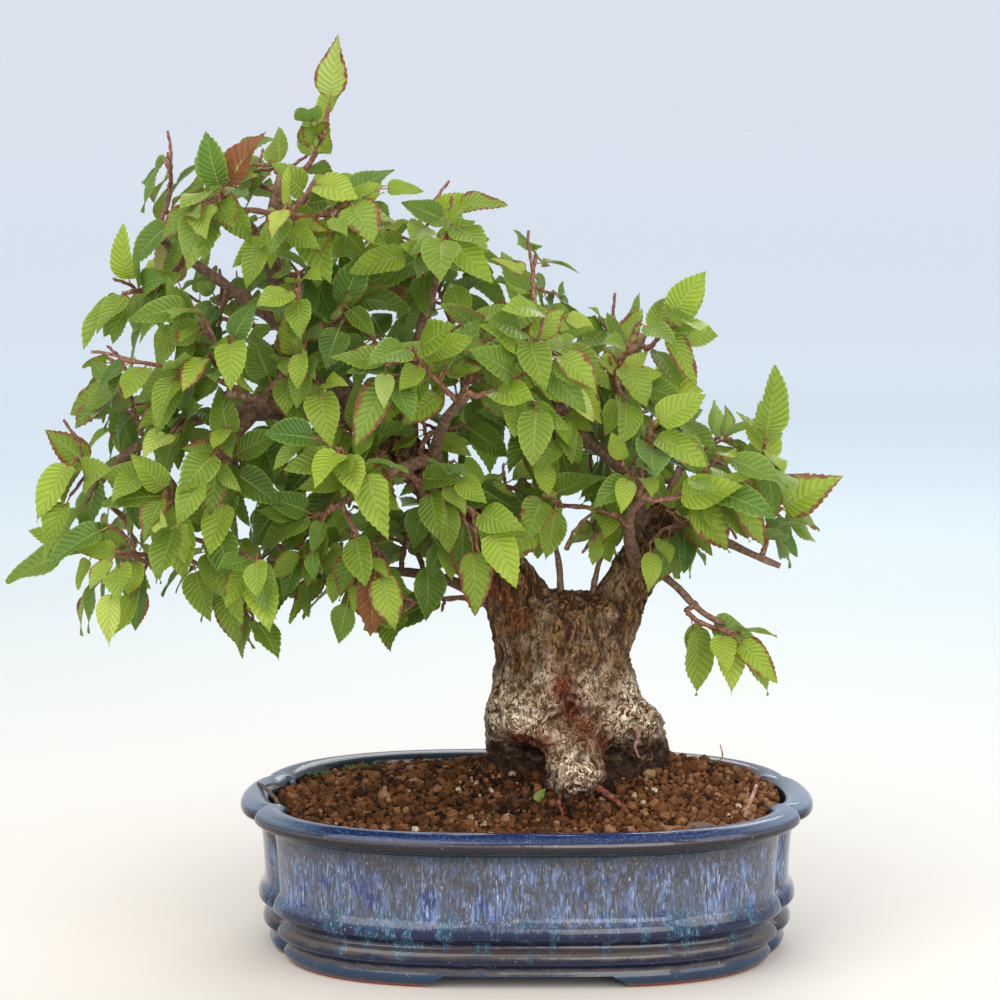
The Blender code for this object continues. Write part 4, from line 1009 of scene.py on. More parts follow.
# %% Lay the granules
def rough_ball(source, divisions):
    """A ball with a lumpy, slightly squashed skin, as arrays of points and triangles."""
    shape = bmesh.new()
    bmesh.ops.create_icosphere(shape, subdivisions=divisions, radius=1.0)
    offset = Vector([source.uniform(-50.0, 50.0) for _ in range(3)])
    for v in shape.verts:
        v.co *= 1.0 + 0.60 * noise.noise(v.co * 1.7 + offset) + source.uniform(-0.14, 0.14)
    points = np.array([v.co for v in shape.verts])
    faces = np.array([[v.index for v in f.verts] for f in shape.faces])
    shape.free()
    return points * np.array([1.0, source.uniform(0.75, 1.0), source.uniform(0.6, 0.85)]), faces


def lay_grains(name, rows, divisions, source, smooth):
    balls = [rough_ball(source, divisions) for _ in range(14)]
    points, faces, tones, count = [], [], [], 0
    for x, y, z, radius, tone in rows:
        ball, skin = balls[source.randrange(len(balls))]
        turn = np.array(Matrix.Rotation(source.uniform(0.0, 6.28), 3,
                                        Vector([source.uniform(-1.0, 1.0) for _ in range(3)])))
        points.append(ball @ turn.T * radius + np.array([x, y, z]))
        faces.append(skin + count)
        tones += [tone] * len(ball)
        count += len(ball)
    piece = finish_mesh(name, place_all(np.concatenate(points)), np.concatenate(faces),
                        [clay_grain], smooth)
    write_tone(piece, "grain_tone", "FLOAT", tones)


source = random.Random(SEED + 5)
PALE_PATCHES = ((-8.0, 4.0), (-22.0, 0.0), (46.0, 2.0), (52.0, -6.0), (-20.0, -42.0))


def grain_tone(x, y, source):
    """Mostly browns, and now and then a pale grain, more often in the pale patches."""
    near = min(math.hypot(x - a, y - b) for a, b in PALE_PATCHES)
    if source.random() < (0.16 if near < 9.0 else 0.018):
        return source.uniform(0.92, 1.0)
    # Grains are darker near the trunk and lighter towards the right
    wet = 0.25 * math.exp(-((x - 21.0) ** 2 + (y - 10.0) ** 2) / 1400.0)
    dry = 0.22 * min(1.0, max(0.0, (x - 15.0) / 45.0))
    return min(0.9, max(0.0, source.gauss(0.46, 0.22) - wet + dry))


large = [(x, y, soil_height(x, y) + r * source.uniform(0.25, 0.75), r, grain_tone(x, y, source))
         for x, y, r in scatter(source, 1.3, 3.0, 0.86, 30000)]
small = [(x, y, soil_height(x, y) + r * source.uniform(0.2, 1.3), r, grain_tone(x, y, source))
         for x, y, r in scatter(source, 0.7, 1.35, 0.9, 26000)]
lay_grains("large_granules", large, 2, source, True)
small = small[:MOST_FINE_GRAINS]
lay_grains("fine_granules", small, 1, source, False)
print("granules:", len(large), "large and", len(small), "fine")

# %% [markdown]
# ## Small things on and in the soil
# A pot that has stood outdoors gathers scraps: a chip of bark, dead stalks, a fallen leaf,
# moss by the rim. The chip, the standing stalk and the two plastic screens under the soil
# keep their plain solids and get a surface of their own. Roots and thin shoots are rods.
# Moss is drawn as tufts of narrow blades, a little larger than life so that they show.

# %% Dead wood, screens and roots
# Dead wood greys in the rain and its fibres stand up, so it is dull and streaked lengthwise
dead_wood = grainy_material(
    "weathered_dead_wood", ((0.3, "#2f221b"), (0.5, "#6b5344"), (0.7, "#94796a")),
    (900.0, 900.0, 260.0), 5.0, {"Roughness": 0.85}, {"Strength": 0.9, "Distance": 0.0005}, 0.7)
# A dried stalk keeps a pinkish skin with paler and darker spots
pink_stalk = grainy_material(
    "dry_pinkish_stalk", ((0.3, "#7c5346"), (0.5, "#b58a78"), (0.7, "#d8b8a6")), 420.0, 3.0,
    {"Roughness": 0.7})
# A root in damp soil is wet, so it has more gloss than bark
red_root = grainy_material(
    "wet_red_root", ((0.3, "#35150c"), (0.5, "#6d3420"), (0.7, "#a3634a")), 380.0, 4.0,
    {"Roughness": 0.45}, {"Strength": 0.8, "Distance": 0.0006})
# Moulded plastic is even, and the mould leaves it half matt
plastic = grainy_material(
    "black_moulded_plastic", ((0.3, "#0d0d0e"), (0.7, "#1c1c1f")), 600.0, 2.0, {"Roughness": 0.5})
for name, material in (("bark_chip", dead_wood), ("dry_stalk", pink_stalk),
                       ("drainage_screen_left", plastic), ("drainage_screen_right", plastic)):
    for cad_slot in frame["nodes"][name].material_slots:
        cad_slot.material = material


def surface_tree(thing):
    """A search tree of an object's surface, in millimetres from the pot's middle."""
    return BVHTree.FromPolygons([v.co / MM - SHIFT for v in thing.data.vertices],
                                [tuple(p.vertices) for p in thing.data.polygons])


# The finished trunk's skin, to lay roots on
skin_tree = surface_tree(trunk)


def on_trunk(x, z, proud):
    """The point of the trunk's front at that place, and a little in front of it."""
    hit = skin_tree.ray_cast(Vector((x, -120.0, z)), Vector((0.0, 1.0, 0.0)))[0]
    return Vector((x, (hit.y if hit else 0.0) - proud, z))


RODS = (
    ("surface_root", red_root, "hornbeam_bark", (
        (((27, -10, 69), (31, -15, 67.5), (35.5, -19, 65.2), (39.5, -24, 62.8), (42, -27, 60.5)),
         (1.9, 1.6, 1.3, 1.1, 0.5)),
        (((14, -17, 67), (13, -25, 64.5), (14.5, -32, 62.0), (13, -38, 60.2)), (0.9, 0.8, 0.6, 0.4)))),
    ("pale_root", pink_stalk, "hornbeam_bark", (
        ((on_trunk(44.8, 92.0, 0.2), on_trunk(46.8, 87.5, 0.9), on_trunk(45.6, 82.5, 1.2),
          on_trunk(47.4, 77.0, 0.6)), (0.8, 0.75, 0.65, 0.4)),)),
    ("crotch_shoots", young, "hornbeam_bark", (
        (((14.0, 17, 139), (14.4, 15, 150), (13.4, 14, 160), (11.5, 12, 169)), (1.9, 1.5, 1.3, 0.9)),
        (((27.0, 17, 140), (28.6, 14, 151), (31.0, 12, 161), (35.0, 11, 170)), (1.6, 1.3, 1.1, 0.8)))),
    ("thin_stalk", pink_stalk, "dry_wood", (
        (((84, 56, 56), (83, 57, 62), (86.4, 57, 66.4), (85.4, 57, 72.0)), (0.4, 0.4, 0.35, 0.25)),)),
    ("rim_scrap", dead_wood, "dry_wood", (
        (((-113.6, 8.8, 65.5), (-110.6, 1.0, 65.7), (-107.4, -6.0, 64.9), (-104.0, -12.5, 62.4),
          (-101.4, -17.6, 60.0)), (0.5, 0.9, 0.8, 0.8, 0.5)),
        (((-110.6, 1.0, 65.7), (-106.4, 3.6, 66.4), (-104.0, 7.0, 65.0)), (0.6, 0.45, 0.3)))),
)
for order, (name, material, cad_slot, lines) in enumerate(RODS):
    points, faces = [], []
    for path, radii in lines:
        rows = curve_through([(*p, r) for p, r in zip(path, radii)], 5)
        drawn = rod([p[:3] for p in rows], [float(p[3]) for p in rows], 8, 0.3, order * 5.0)
        join_shape(points, faces, drawn)
    piece = finish_mesh(name, place_all(points), faces, [material])
print("rods on the soil and the trunk:", len(RODS))

# %% Moss by the rim
# Moss has no skin that mirrors, and each tiny blade takes another green
moss_green = grainy_material(
    "green_moss", ((0.3, "#263f10"), (0.5, "#3f6419"), (0.7, "#6a8f30")), 500.0, 2.0, {"Roughness": 0.8})
MOSS_TUFTS = ((-75.0, 56.0, 6.0, 90), (-66.0, 60.0, 3.5, 40), (-88.0, 44.0, 4.5, 50),
              (-40.0, -58.0, 2.5, 16))
source = random.Random(SEED + 21)
points, faces = [], []
for middle_x, middle_y, spread, blades in MOSS_TUFTS:
    for _ in range(blades):
        x, y = source.gauss(middle_x, spread / 1.6), source.gauss(middle_y, spread / 2.2)
        if not on_soil(x, y, 0.5):
            continue
        root = Vector((x, y, soil_height(x, y) + source.uniform(0.6, 1.8)))
        lean = Vector([source.gauss(0.0, 0.9) for _ in range(2)] + [source.uniform(0.7, 1.5)])
        lean = lean.normalized() * source.uniform(1.4, 3.0)
        path = [root, root + lean * 0.5, root + lean * 0.9 + Vector((lean.x, lean.y, 0.0)) * 0.35]
        join_shape(points, faces, rod(path, (0.22, 0.26, 0.06), 4))
moss = finish_mesh("moss", place_all(points), faces, [moss_green])
print("moss faces:", len(faces))

# %% [markdown]
# ## Where the leaves stand
# The plain solids already hold one spray for each part of the crown. Their rule is repeated
# here step by step with the same seed, so each fine leaf and twig falls exactly where the
# plain one is. The rule picks places spread evenly through the crown, runs a twig to each
# from the nearest limb, adds a side twig, and turns every leaf until it crosses nothing.

# %% The plain trunk again, for the roots of the twigs
TRUNK_SIDES = 28
TRUNK_RINGS = (40, 56, 64, 69, 74, 79, 85, 91, 97, 104, 113, 123, 132, 138)


def plain_ring(height):
    return [trunk_point(2.0 * math.pi * j / TRUNK_SIDES, height) for j in range(TRUNK_SIDES)]


def drawn_in(ring, height, share):
    middle = [sum(p[k] for p in ring) / len(ring) for k in (0, 1)]
    return [(middle[0] + (p[0] - middle[0]) * share, middle[1] + (p[1] - middle[1]) * share, height)
            for p in ring]


def line_object(points, radii, flat=False):
    """A curve of straight stretches through points in metres, closed if it is flat."""
    curve = bpy.data.curves.new("line", "CURVE")
    curve.dimensions = "2D" if flat else "3D"
    line = curve.splines.new("POLY")
    line.points.add(len(points) - 1)
    for bead, point, radius in zip(line.points, points, radii):
        bead.co = (*point, 1.0)
        bead.radius = radius
    line.use_cyclic_u = flat
    return put_in_scene("line", curve)


def circle_section(sides):
    """A round outline of unit size, which a limb's curve carries along."""
    turns = [2.0 * math.pi * j / sides for j in range(sides)]
    return line_object([(math.cos(t) * MM, math.sin(t) * MM, 0.0) for t in turns], [1.0] * sides, True)


def plain_tube(path, radii, section, collection):
    """A curve through the path, thick as the radii say, turned into a closed mesh."""
    drawn = line_object([place(p) for p in path], radii)
    drawn.data.bevel_mode = "OBJECT"
    drawn.data.bevel_object = section
    drawn.data.use_fill_caps = True
    bpy.context.view_layer.update()
    graph = bpy.context.evaluated_depsgraph_get()
    mesh = bpy.data.meshes.new_from_object(drawn.evaluated_get(graph))
    bpy.data.objects.remove(drawn, do_unlink=True)
    shape = bmesh.new()
    shape.from_mesh(mesh)
    bmesh.ops.remove_doubles(shape, verts=shape.verts, dist=0.00001)
    bmesh.ops.recalc_face_normals(shape, faces=shape.faces)
    shape.to_mesh(mesh)
    shape.free()
    collection.objects.link(bpy.data.objects.new("tube", mesh))


rings = [plain_ring(height) for height in TRUNK_RINGS]
top = rings[-1]
rings += [drawn_in(top, 143.0, 0.78), drawn_in(top, 146.0, 0.4)]
points, faces = loft(rings, split=True)
rooting = mesh_object("rooting", [place(p) for p in points], faces)
pieces = bpy.data.collections.new("pieces")
bpy.context.scene.collection.children.link(pieces)
thick, thin = circle_section(8), circle_section(5)
for row in LIMBS.values():
    path, radii = limb_path(row)
    plain_tube(path, radii, thick if radii[0] > STOUT_LIMB else thin, pieces)
join = rooting.modifiers.new("join", "BOOLEAN")
join.operation = "UNION"
join.solver = "MANIFOLD"
join.operand_type = "COLLECTION"
join.collection = pieces
apply_modifiers(rooting)
for thing in list(pieces.objects) + [thick, thin]:
    bpy.data.objects.remove(thing, do_unlink=True)
bpy.data.collections.remove(pieces)
print("faces of the plain trunk:", len(rooting.data.polygons))

# %% Crown rule: outline and sprays
CROWN_OUTLINE = (
    (-196, 146), (-200, 170), (-195, 212), (-188, 250), (-184, 296), (-172, 318), (-152, 340),
    (-123, 352), (-92, 345), (-53, 330), (-26, 318), (8, 312), (12, 290), (36, 275), (66, 262),
    (72, 236), (102, 226), (120, 216), (124, 184), (108, 160), (72, 146), (50, 150), (30, 164),
    (-10, 162), (-24, 146), (-42, 132), (-86, 134), (-116, 127), (-150, 138), (-180, 138),
)
CROWN_HALF_DEPTH = 74.0
CROWN_MIDDLE = (-30.0, 10.0, 205.0)
EDGE_ROUNDING = 46.0
SPRAYS = 35
# Sprays end in the outer part of the crown: shares of its half depth
SHELL = (0.35, 0.95)
LONE_SHOOTS = (
    (-190.0, -6.0, 166.0), (-81.0, 4.0, 350.0), (58.0, -4.0, 263.0), (88.0, -16.0, 134.0),
    (98.0, -4.0, 213.0), (106.0, 0.0, 184.0),
)
LONE_SAG = (0.15, -0.1, 0.0, 0.8, 0.2, 0.3)
LEAF_SAG = 0.7
GAP = 0.35
TWIG_START, TWIG_END = 1.3, 0.75
SIDE_TWIG_START, SIDE_TWIG_END = 0.8, 0.6
LEAF_LENGTH = (19.0, 29.0)
LEAF_WIDTH_SHARE = 0.66
STALK_LENGTH = 4.5
BLADE_THICKNESS = 0.8
BLADE_OUTLINE = ((0.05, 0.62), (0.30, 1.0), (0.37, 0.86), (0.62, 0.80), (0.68, 0.62))
RIB_SHARE = 0.42
LEAF_TRIES = 16


def inside_outline(x, z):
    inside = False
    count = len(CROWN_OUTLINE)
    for i in range(count):
        ax, az = CROWN_OUTLINE[i]
        bx, bz = CROWN_OUTLINE[(i + 1) % count]
        if (az > z) != (bz > z) and x < (bx - ax) * (z - az) / (bz - az) + ax:
            inside = not inside
    return inside


def edge_distance(x, z):
    """Distance from the outline, below zero outside."""
    best = 1e9
    count = len(CROWN_OUTLINE)
    for i in range(count):
        ax, az = CROWN_OUTLINE[i]
        bx, bz = CROWN_OUTLINE[(i + 1) % count]
        dx, dz = bx - ax, bz - az
        share = ((x - ax) * dx + (z - az) * dz) / (dx * dx + dz * dz)
        share = min(1.0, max(0.0, share))
        best = min(best, math.hypot(x - ax - share * dx, z - az - share * dz))
    return best if inside_outline(x, z) else -best


def half_depth(x, z):
    """Half depth of the crown behind a place on its front view."""
    away = edge_distance(x, z)
    if away <= 0.0:
        return 0.0
    share = min(1.0, away / EDGE_ROUNDING)
    return CROWN_HALF_DEPTH * math.sqrt(1.0 - (1.0 - share) ** 2)


def outward_from_crown(point):
    away = Vector(point) - Vector(CROWN_MIDDLE)
    away.z *= 0.7
    return away.normalized()


def facing(point):
    """The level way that a leaf turns its face: to the front or the back, less to a side."""
    away = Vector(point) - Vector(CROWN_MIDDLE)
    return Vector((away.x * 0.3, away.y - 28.0, 0.0)).normalized()


def spray_targets(source):
    """Places spread evenly through the crown, one for each spray."""
    low_x = min(p[0] for p in CROWN_OUTLINE)
    high_x = max(p[0] for p in CROWN_OUTLINE)
    low_z = min(p[1] for p in CROWN_OUTLINE)
    high_z = max(p[1] for p in CROWN_OUTLINE)
    chosen = [Vector(p) for p in LONE_SHOOTS]
    while len(chosen) < SPRAYS + len(LONE_SHOOTS):
        best, best_gap = None, -1.0
        for _ in range(50):
            x = source.uniform(low_x, high_x)
            z = source.uniform(low_z, high_z)
            depth = half_depth(x, z)
            if edge_distance(x, z) < 7.0:
                continue
            side = -1.0 if source.random() < 0.5 else 1.0
            y = CROWN_MIDDLE[1] + side * source.uniform(*SHELL) * depth
            spot = Vector((x, y, z))
            gap = min((spot - other).length for other in chosen)
            if gap > best_gap:
                best, best_gap = spot, gap
        chosen.append(best)
    return chosen


def limb_samples():
    """Points on the limbs from which a twig may start: place, direction and radius."""
    found = []
    for row in LIMBS.values():
        path, radii = limb_path(row)
        for i in range(len(path) - 1):
            steps = max(2, int((path[i + 1] - path[i]).length / 4.0))
            for step in range(steps):
                share = step / steps
                radius = radii[i] + (radii[i + 1] - radii[i]) * share
                spot = path[i].lerp(path[i + 1], share)
                if radius < 7.5 and spot.z > 140.0:
                    found.append((spot, (path[i + 1] - path[i]).normalized(), radius))
        found.append((path[-1], (path[-1] - path[-2]).normalized(), radii[-1]))
    return found


print("places on the limbs where a twig may start:", len(limb_samples()))

# %% Crown rule: twigs that keep clear of each other
def segment_gap(a, b, c, d):
    """Least distance between two straight segments."""
    u, v, w = b - a, d - c, a - c
    uu, uv, vv = u.dot(u), u.dot(v), v.dot(v)
    uw, vw = u.dot(w), v.dot(w)
    below = uu * vv - uv * uv
    s = 0.5 if below < 1e-9 else min(1.0, max(0.0, (uv * vw - vv * uw) / below))
    t = min(1.0, max(0.0, (uv * s + vw) / vv)) if vv > 1e-9 else 0.0
    s = min(1.0, max(0.0, (uv * t - uw) / uu)) if uu > 1e-9 else 0.0
    return ((a + u * s) - (c + v * t)).length


def stretches(path, radii):
    """Each stretch of a bar: its ends, radius, middle and half length."""
    for a, b, first, second in zip(path, path[1:], radii, radii[1:]):
        yield a, b, max(first, second), (a + b) / 2.0, (b - a).length / 2.0


class Bars:
    """Round bars already placed, kept by owner, for the clearance of the next ones."""

    def __init__(self):
        self.rows = []

    def add(self, path, radii, owner):
        self.rows += [(*row, owner) for row in stretches(path, radii)]

    def clear(self, path, radii, owner, margin):
        for a, b, radius, middle, reach in stretches(path, radii):
            for c, d, other, centre, other_reach, who in self.rows:
                if who == owner:
                    continue
                need = radius + other + margin
                if (middle - centre).length > reach + other_reach + need:
                    continue
                if segment_gap(a, b, c, d) < need:
                    return False
        return True


def bezier(a, b, c, d, share):
    rest = 1.0 - share
    return (a * rest ** 3 + b * 3.0 * rest ** 2 * share
            + c * 3.0 * rest * share ** 2 + d * share ** 3)


def twig_path(start, leave, target, ending, bow):
    reach = (target - start).length
    b = start + leave * reach * 0.35 + bow
    c = target - ending * reach * 0.3 + bow
    return [bezier(start, b, c, target, share) for share in (0.0, 0.12, 0.38, 0.68, 1.0)]


def bar_tree(path, radii, extra):
    """A rough four-sided bar round a twig, for tests only."""
    points, faces = [], []
    for i in range(len(path)):
        ahead = path[min(i + 1, len(path) - 1)] - path[max(i - 1, 0)]
        ahead.normalize()
        first = ahead.orthogonal().normalized()
        second = ahead.cross(first)
        size = (radii[i] + extra) * 1.25
        for a, b in ((1, 0), (0, 1), (-1, 0), (0, -1)):
            points.append(path[i] + first * a * size + second * b * size)
    for i in range(len(path) - 1):
        for j in range(4):
            k = (j + 1) % 4
            faces.append((i * 4 + j, i * 4 + k, i * 4 + 4 + k, i * 4 + 4 + j))
    return BVHTree.FromPolygons(points, faces)


def run_twig(source, bars, surface, samples, used, number, target):
    """One main twig from the nearest free limb to its place, or nothing."""
    ranked = []
    for spot, along, radius in samples:
        away = target - spot
        cost = away.length + 0.6 * max(0.0, spot.z - target.z + 4.0)
        for other in used:
            near = (spot - other).length
            if near < 9.0:
                cost += 3.0 * (9.0 - near)
        ranked.append((cost, spot, along, radius))
    ranked.sort(key=lambda row: row[0])
    for attempt in range(60):
        _, spot, along, radius = ranked[min(attempt // 3, len(ranked) - 1)]
        away = target - spot
        if away.length < 8.0:
            away = outward_from_crown(target) * 12.0
        side = away - along * away.dot(along)
        tip = spot == samples[-1][0] or side.length < 2.0
        leave = away.normalized() if tip else side.normalized()
        hit = surface.ray_cast(spot + leave * (radius + 6.0), -leave)
        if hit[0] is None:
            continue
        leave = hit[1].normalized()
        start = hit[0] + leave * GAP
        if (start - spot).length > radius + 3.0:
            continue
        ending = (outward_from_crown(target) * 0.7 + away.normalized() * 0.6).normalized()
        amount = 1.0 + 0.25 * attempt
        bow = Vector([source.uniform(-1.0, 1.0) * amount for _ in range(3)])
        path = twig_path(start, leave, target, ending, bow)
        path[1] = start + leave * 2.6
        radii = [TWIG_START + (TWIG_END - TWIG_START) * k / 4.0 for k in range(5)]
        touches = surface.overlap(bar_tree(path, radii, 0.0))
        if not touches and bars.clear(path[1:], radii[1:], number, 0.5):
            used.append(spot)
            bars.add(path, radii, number)
            return {"number": number, "path": path, "radii": radii, "sides": [], "leaves": [],
                    "leave": leave}
    return None


def sideways(ahead, out):
    """The way across a twig, level with the crown's surface."""
    across = ahead.cross(out)
    if across.length < 0.1:
        across = ahead.cross(Vector((0.0, 0.0, 1.0)))
    return across.normalized()


def add_side_twigs(source, bars, twig, first, places):
    """Side twigs on a main twig, to one side and the other in turn."""
    path = twig["path"]
    for which, (joint, share) in enumerate(places, start=first):
        root = path[joint].lerp(path[joint + 1], share)
        ahead = (path[joint + 1] - path[joint]).normalized()
        out = outward_from_crown(root)
        across = sideways(ahead, out) * (1.0 if which % 2 else -1.0)
        for attempt in range(12):
            length = source.uniform(13.0, 21.0) * (1.0 - 0.03 * attempt)
            way = ahead * 0.6 + across * 0.8
            way += Vector([source.uniform(-0.3, 0.3) * (1.0 + 0.2 * attempt) for _ in range(3)])
            way.normalize()
            bend = (way + out * 0.3 + Vector((0.0, 0.0, -0.15))).normalized()
            side = [root, root + way * length * 0.5, root + way * length * 0.5 + bend * length * 0.5]
            radii = [SIDE_TWIG_START, 0.7, SIDE_TWIG_END]
            inside = edge_distance(side[-1].x, side[-1].z) > 0.0
            if (inside or attempt > 8) and bars.clear(side, radii, twig["number"], 0.5):
                bars.add(side, radii, twig["number"])
                twig["sides"].append((side, radii))
                break


surface = surface_tree(rooting)
bpy.data.objects.remove(rooting, do_unlink=True)
source = random.Random(SEED)
bars = Bars()
for name, row in LIMBS.items():
    path, radii = limb_path(row)
    bars.add(path, radii, name)
samples, used, twigs = limb_samples(), [], []
for number, target in enumerate(spray_targets(source)):
    twig = run_twig(source, bars, surface, samples, used, number, target)
    if twig:
        twigs.append(twig)
for order, twig in enumerate(twigs):
    add_side_twigs(source, bars, twig, order, ((2, 0.75),))
print("sprays:", len(twigs), "side twigs:", sum(len(t["sides"]) for t in twigs))

# %% Crown rule: leaves that cross nothing
def blade_points(leaf, swell=0.0):
    """Points and faces of the plain folded blade with its stalk, for the crossing tests."""
    length, width = leaf["length"], leaf["width"]
    root, way, face = leaf["root"], leaf["way"], leaf["face"]
    across = face.cross(way)
    half = width / 2.0
    thick = BLADE_THICKNESS / 2.0 + swell

    def at(x, y, lift):
        share = max(0.0, x) / length
        z = leaf["fold"] * abs(y) - leaf["droop"] * length * share * share + lift
        return root + way * (x + STALK_LENGTH) + across * y + face * z

    points = [
        at(-STALK_LENGTH, 0.24, 0.1), at(-STALK_LENGTH, -0.24, 0.1), at(-STALK_LENGTH, 0.0, -0.24),
        at(0.0, 0.45, 0.15), at(0.0, -0.45, 0.15), at(0.0, 0.0, -0.5),
    ]
    faces = [(0, 1, 2), (0, 3, 4, 1), (1, 4, 5, 2), (2, 5, 3, 0)]
    left, right = [3], [4]
    for share, wide in BLADE_OUTLINE:
        left.append(len(points))
        points.append(at(share * length, half * wide, 0.0))
        right.append(len(points))
        points.append(at(share * length, -half * wide, 0.0))
    top = len(points)
    points.append(at(RIB_SHARE * length, 0.0, thick))
    low = len(points)
    points.append(at(RIB_SHARE * length, 0.0, -thick))
    tip = len(points)
    points.append(at(length, 0.0, 0.0))
    faces.append((3, top, 4))
    for edge, flip in ((left + [tip], False), (right + [tip], True)):
        for rib, under in ((top, False), (low, True)):
            for a, b in zip(edge, edge[1:]):
                faces.append((rib, a, b) if flip == under else (rib, b, a))
        faces.append((5, edge[0], low) if flip else (5, low, edge[0]))
    return points, faces


def place_on(path, joint, share, turn):
    """A leaf's place between two points of a twig, the twig's heading there and the side."""
    a, b = path[joint], path[joint + 1]
    return a.lerp(b, share), (b - a).normalized(), turn


def leaf_spots(twig):
    """Where a spray's leaves stand: the place, the twig's heading and the side."""
    path = twig["path"]
    heading = (path[-1] - path[-2]).normalized()
    spots = [(path[-1] - heading * 0.6, heading, 0.0)]
    for side, _ in twig["sides"]:
        ahead = (side[-1] - side[-2]).normalized()
        spots.append((side[-1] - ahead * 0.5, ahead, 0.0))
    turn = 1.0 if twig["number"] % 2 else -1.0
    spots += [place_on(path, 3, 0.35, -turn), place_on(path, 2, 0.35, turn), place_on(path, 1, 0.8, -turn)]
    for side, _ in twig["sides"][:1]:
        spots.append((side[1], (side[1] - side[0]).normalized(), turn))
    return spots


def draw_leaf(source, spot, heading, turn, sag, attempt, sizes):
    out = outward_from_crown(spot)
    across = sideways(heading, out)
    loose = 0.22 + 0.07 * attempt
    jitter = Vector([source.uniform(-loose, loose) for _ in range(3)])
    way = heading * 0.55 + across * turn * 0.75 + out * 0.25 + Vector((0.0, 0.0, -sag)) + jitter
    way.normalize()
    jitter = Vector([source.uniform(-loose, loose) for _ in range(3)])
    face = facing(spot) * 0.8 + Vector((0.0, 0.0, 0.6)) + jitter
    face = face - way * face.dot(way)
    if face.length < 0.1:
        face = across.copy()
    face.normalize()
    height_share = min(1.0, max(0.0, (spot.z - 140.0) / 200.0))
    longest = sizes[1] - 4.0 * height_share
    length = source.uniform(sizes[0], longest) * (1.0 - 0.015 * attempt)
    return {
        "root": spot, "way": way, "face": face, "length": length,
        "width": length * LEAF_WIDTH_SHARE * source.uniform(0.92, 1.1),
        "fold": source.uniform(0.12, 0.36), "droop": source.uniform(0.06, 0.34),
    }


def leaf_tree(leaf, swell, with_stalk):
    points, faces = blade_points(leaf, swell)
    return BVHTree.FromPolygons(points, faces if with_stalk else faces[4:])


class Foliage:
    """Blades and bars already placed, with their places, for crossing tests."""

    def __init__(self):
        self.rows = []

    def add(self, tree, middle, reach, owner):
        self.rows.append((tree, middle, reach, owner))

    def free(self, leaf, middle, reach, owner):
        """True if the leaf crosses nothing; its stalk may only meet its own spray."""
        blade = leaf_tree(leaf, 0.0, False)
        whole = leaf_tree(leaf, 0.0, True)
        for other, centre, other_reach, who in self.rows:
            if (middle - centre).length > reach + other_reach:
                continue
            if (blade if who == owner else whole).overlap(other):
                return False
        return True


def note_bars(foliage, twig):
    for path, radii in [(twig["path"], twig["radii"])] + twig["sides"]:
        middle = (path[0] + path[-1]) / 2.0
        reach = max((p - middle).length for p in path) + 2.0
        foliage.add(bar_tree(path, radii, 0.35), middle, reach, twig["number"])


def hang_leaves(source, foliage, surface, twig, spots, sag, tries, lone, sizes, roots, edge=-5.0):
    """Stalked leaves on one spray, each turned until it crosses nothing."""
    for spot, heading, turn in spots:
        for attempt in range(tries):
            leaf = draw_leaf(source, spot, heading, turn, sag, attempt, sizes)
            blade_root = spot + leaf["way"] * STALK_LENGTH
            tip = blade_root + leaf["way"] * leaf["length"]
            tip -= leaf["face"] * leaf["droop"] * leaf["length"]
            if not lone and edge_distance(tip.x, tip.z) < edge:
                continue
            middle = (spot + tip) / 2.0
            reach = (tip - spot).length * 0.5 + leaf["width"] * 0.4
            if surface.overlap(leaf_tree(leaf, 0.7, True)):
                continue
            if foliage.free(leaf, middle, reach, twig["number"]):
                foliage.add(leaf_tree(leaf, 0.4, True), middle, reach, twig["number"])
                twig["leaves"].append(leaf)
                roots.append(middle)
                break


foliage, leaf_middles = Foliage(), []
for twig in twigs:
    note_bars(foliage, twig)
for twig in twigs:
    lone = twig["number"] < len(LONE_SHOOTS)
    sag = LONE_SAG[twig["number"]] if lone else LEAF_SAG
    hang_leaves(source, foliage, surface, twig, leaf_spots(twig), sag, LEAF_TRIES, lone,
                LEAF_LENGTH, leaf_middles)
print("leaves of the plain sprays:", len(leaf_middles))
worst = 0.0
for order, twig in enumerate(twigs, start=1):
    points = [p for path, _ in [(twig["path"], None)] + twig["sides"] for p in path]
    for leaf in twig["leaves"]:
        points += blade_points(leaf)[0]
    points = place_all([tuple(p) for p in points])
    low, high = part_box(f"leafy_spray_{order:02d}")
    worst = max(worst, *np.abs(points.min(axis=0) - np.array(low)),
                *np.abs(points.max(axis=0) - np.array(high)))
print("furthest that a repeated spray's box is from its plain one, in mm:", round(worst / MM, 2))

# %% [markdown]
# ## The rest of the crown
# The plain solids hold only as many leaves as a light model allows. The real crown has about
# five times as many, so more leaves go on the same twigs, and then more sprays follow, each
# sent to the emptiest place left in the crown. Every new leaf is tested against all the
# others, so that blades lie over each other as they do on the tree and never pass through.

# %% Further leaves and sprays
FURTHER_SPRAYS = 60
FURTHER_TRIES = 9
FURTHER_LENGTH = (13.0, 27.0)
FURTHER_EDGE = -1.0
# The crown thins out over this many millimetres towards its edge
THINNING = 42.0


def further_spots(twig, along_main, along_side):
    """More places along a spray's twigs, to one side and the other in turn."""
    rows = [(twig["path"], *where) for where in along_main]
    rows += [(side, *where) for side, _ in twig["sides"] for where in along_side]
    return [place_on(*row, 1.0 if order % 2 else -1.0) for order, row in enumerate(rows)]


def thinned(source, spots):
    """Fewer of the places near the crown's edge, where the sky shows between leaves."""
    kept = []
    for row in spots:
        share = edge_distance(row[0].x, row[0].z) / THINNING
        if source.random() < min(0.95, max(0.22, share)):
            kept.append(row)
    return kept


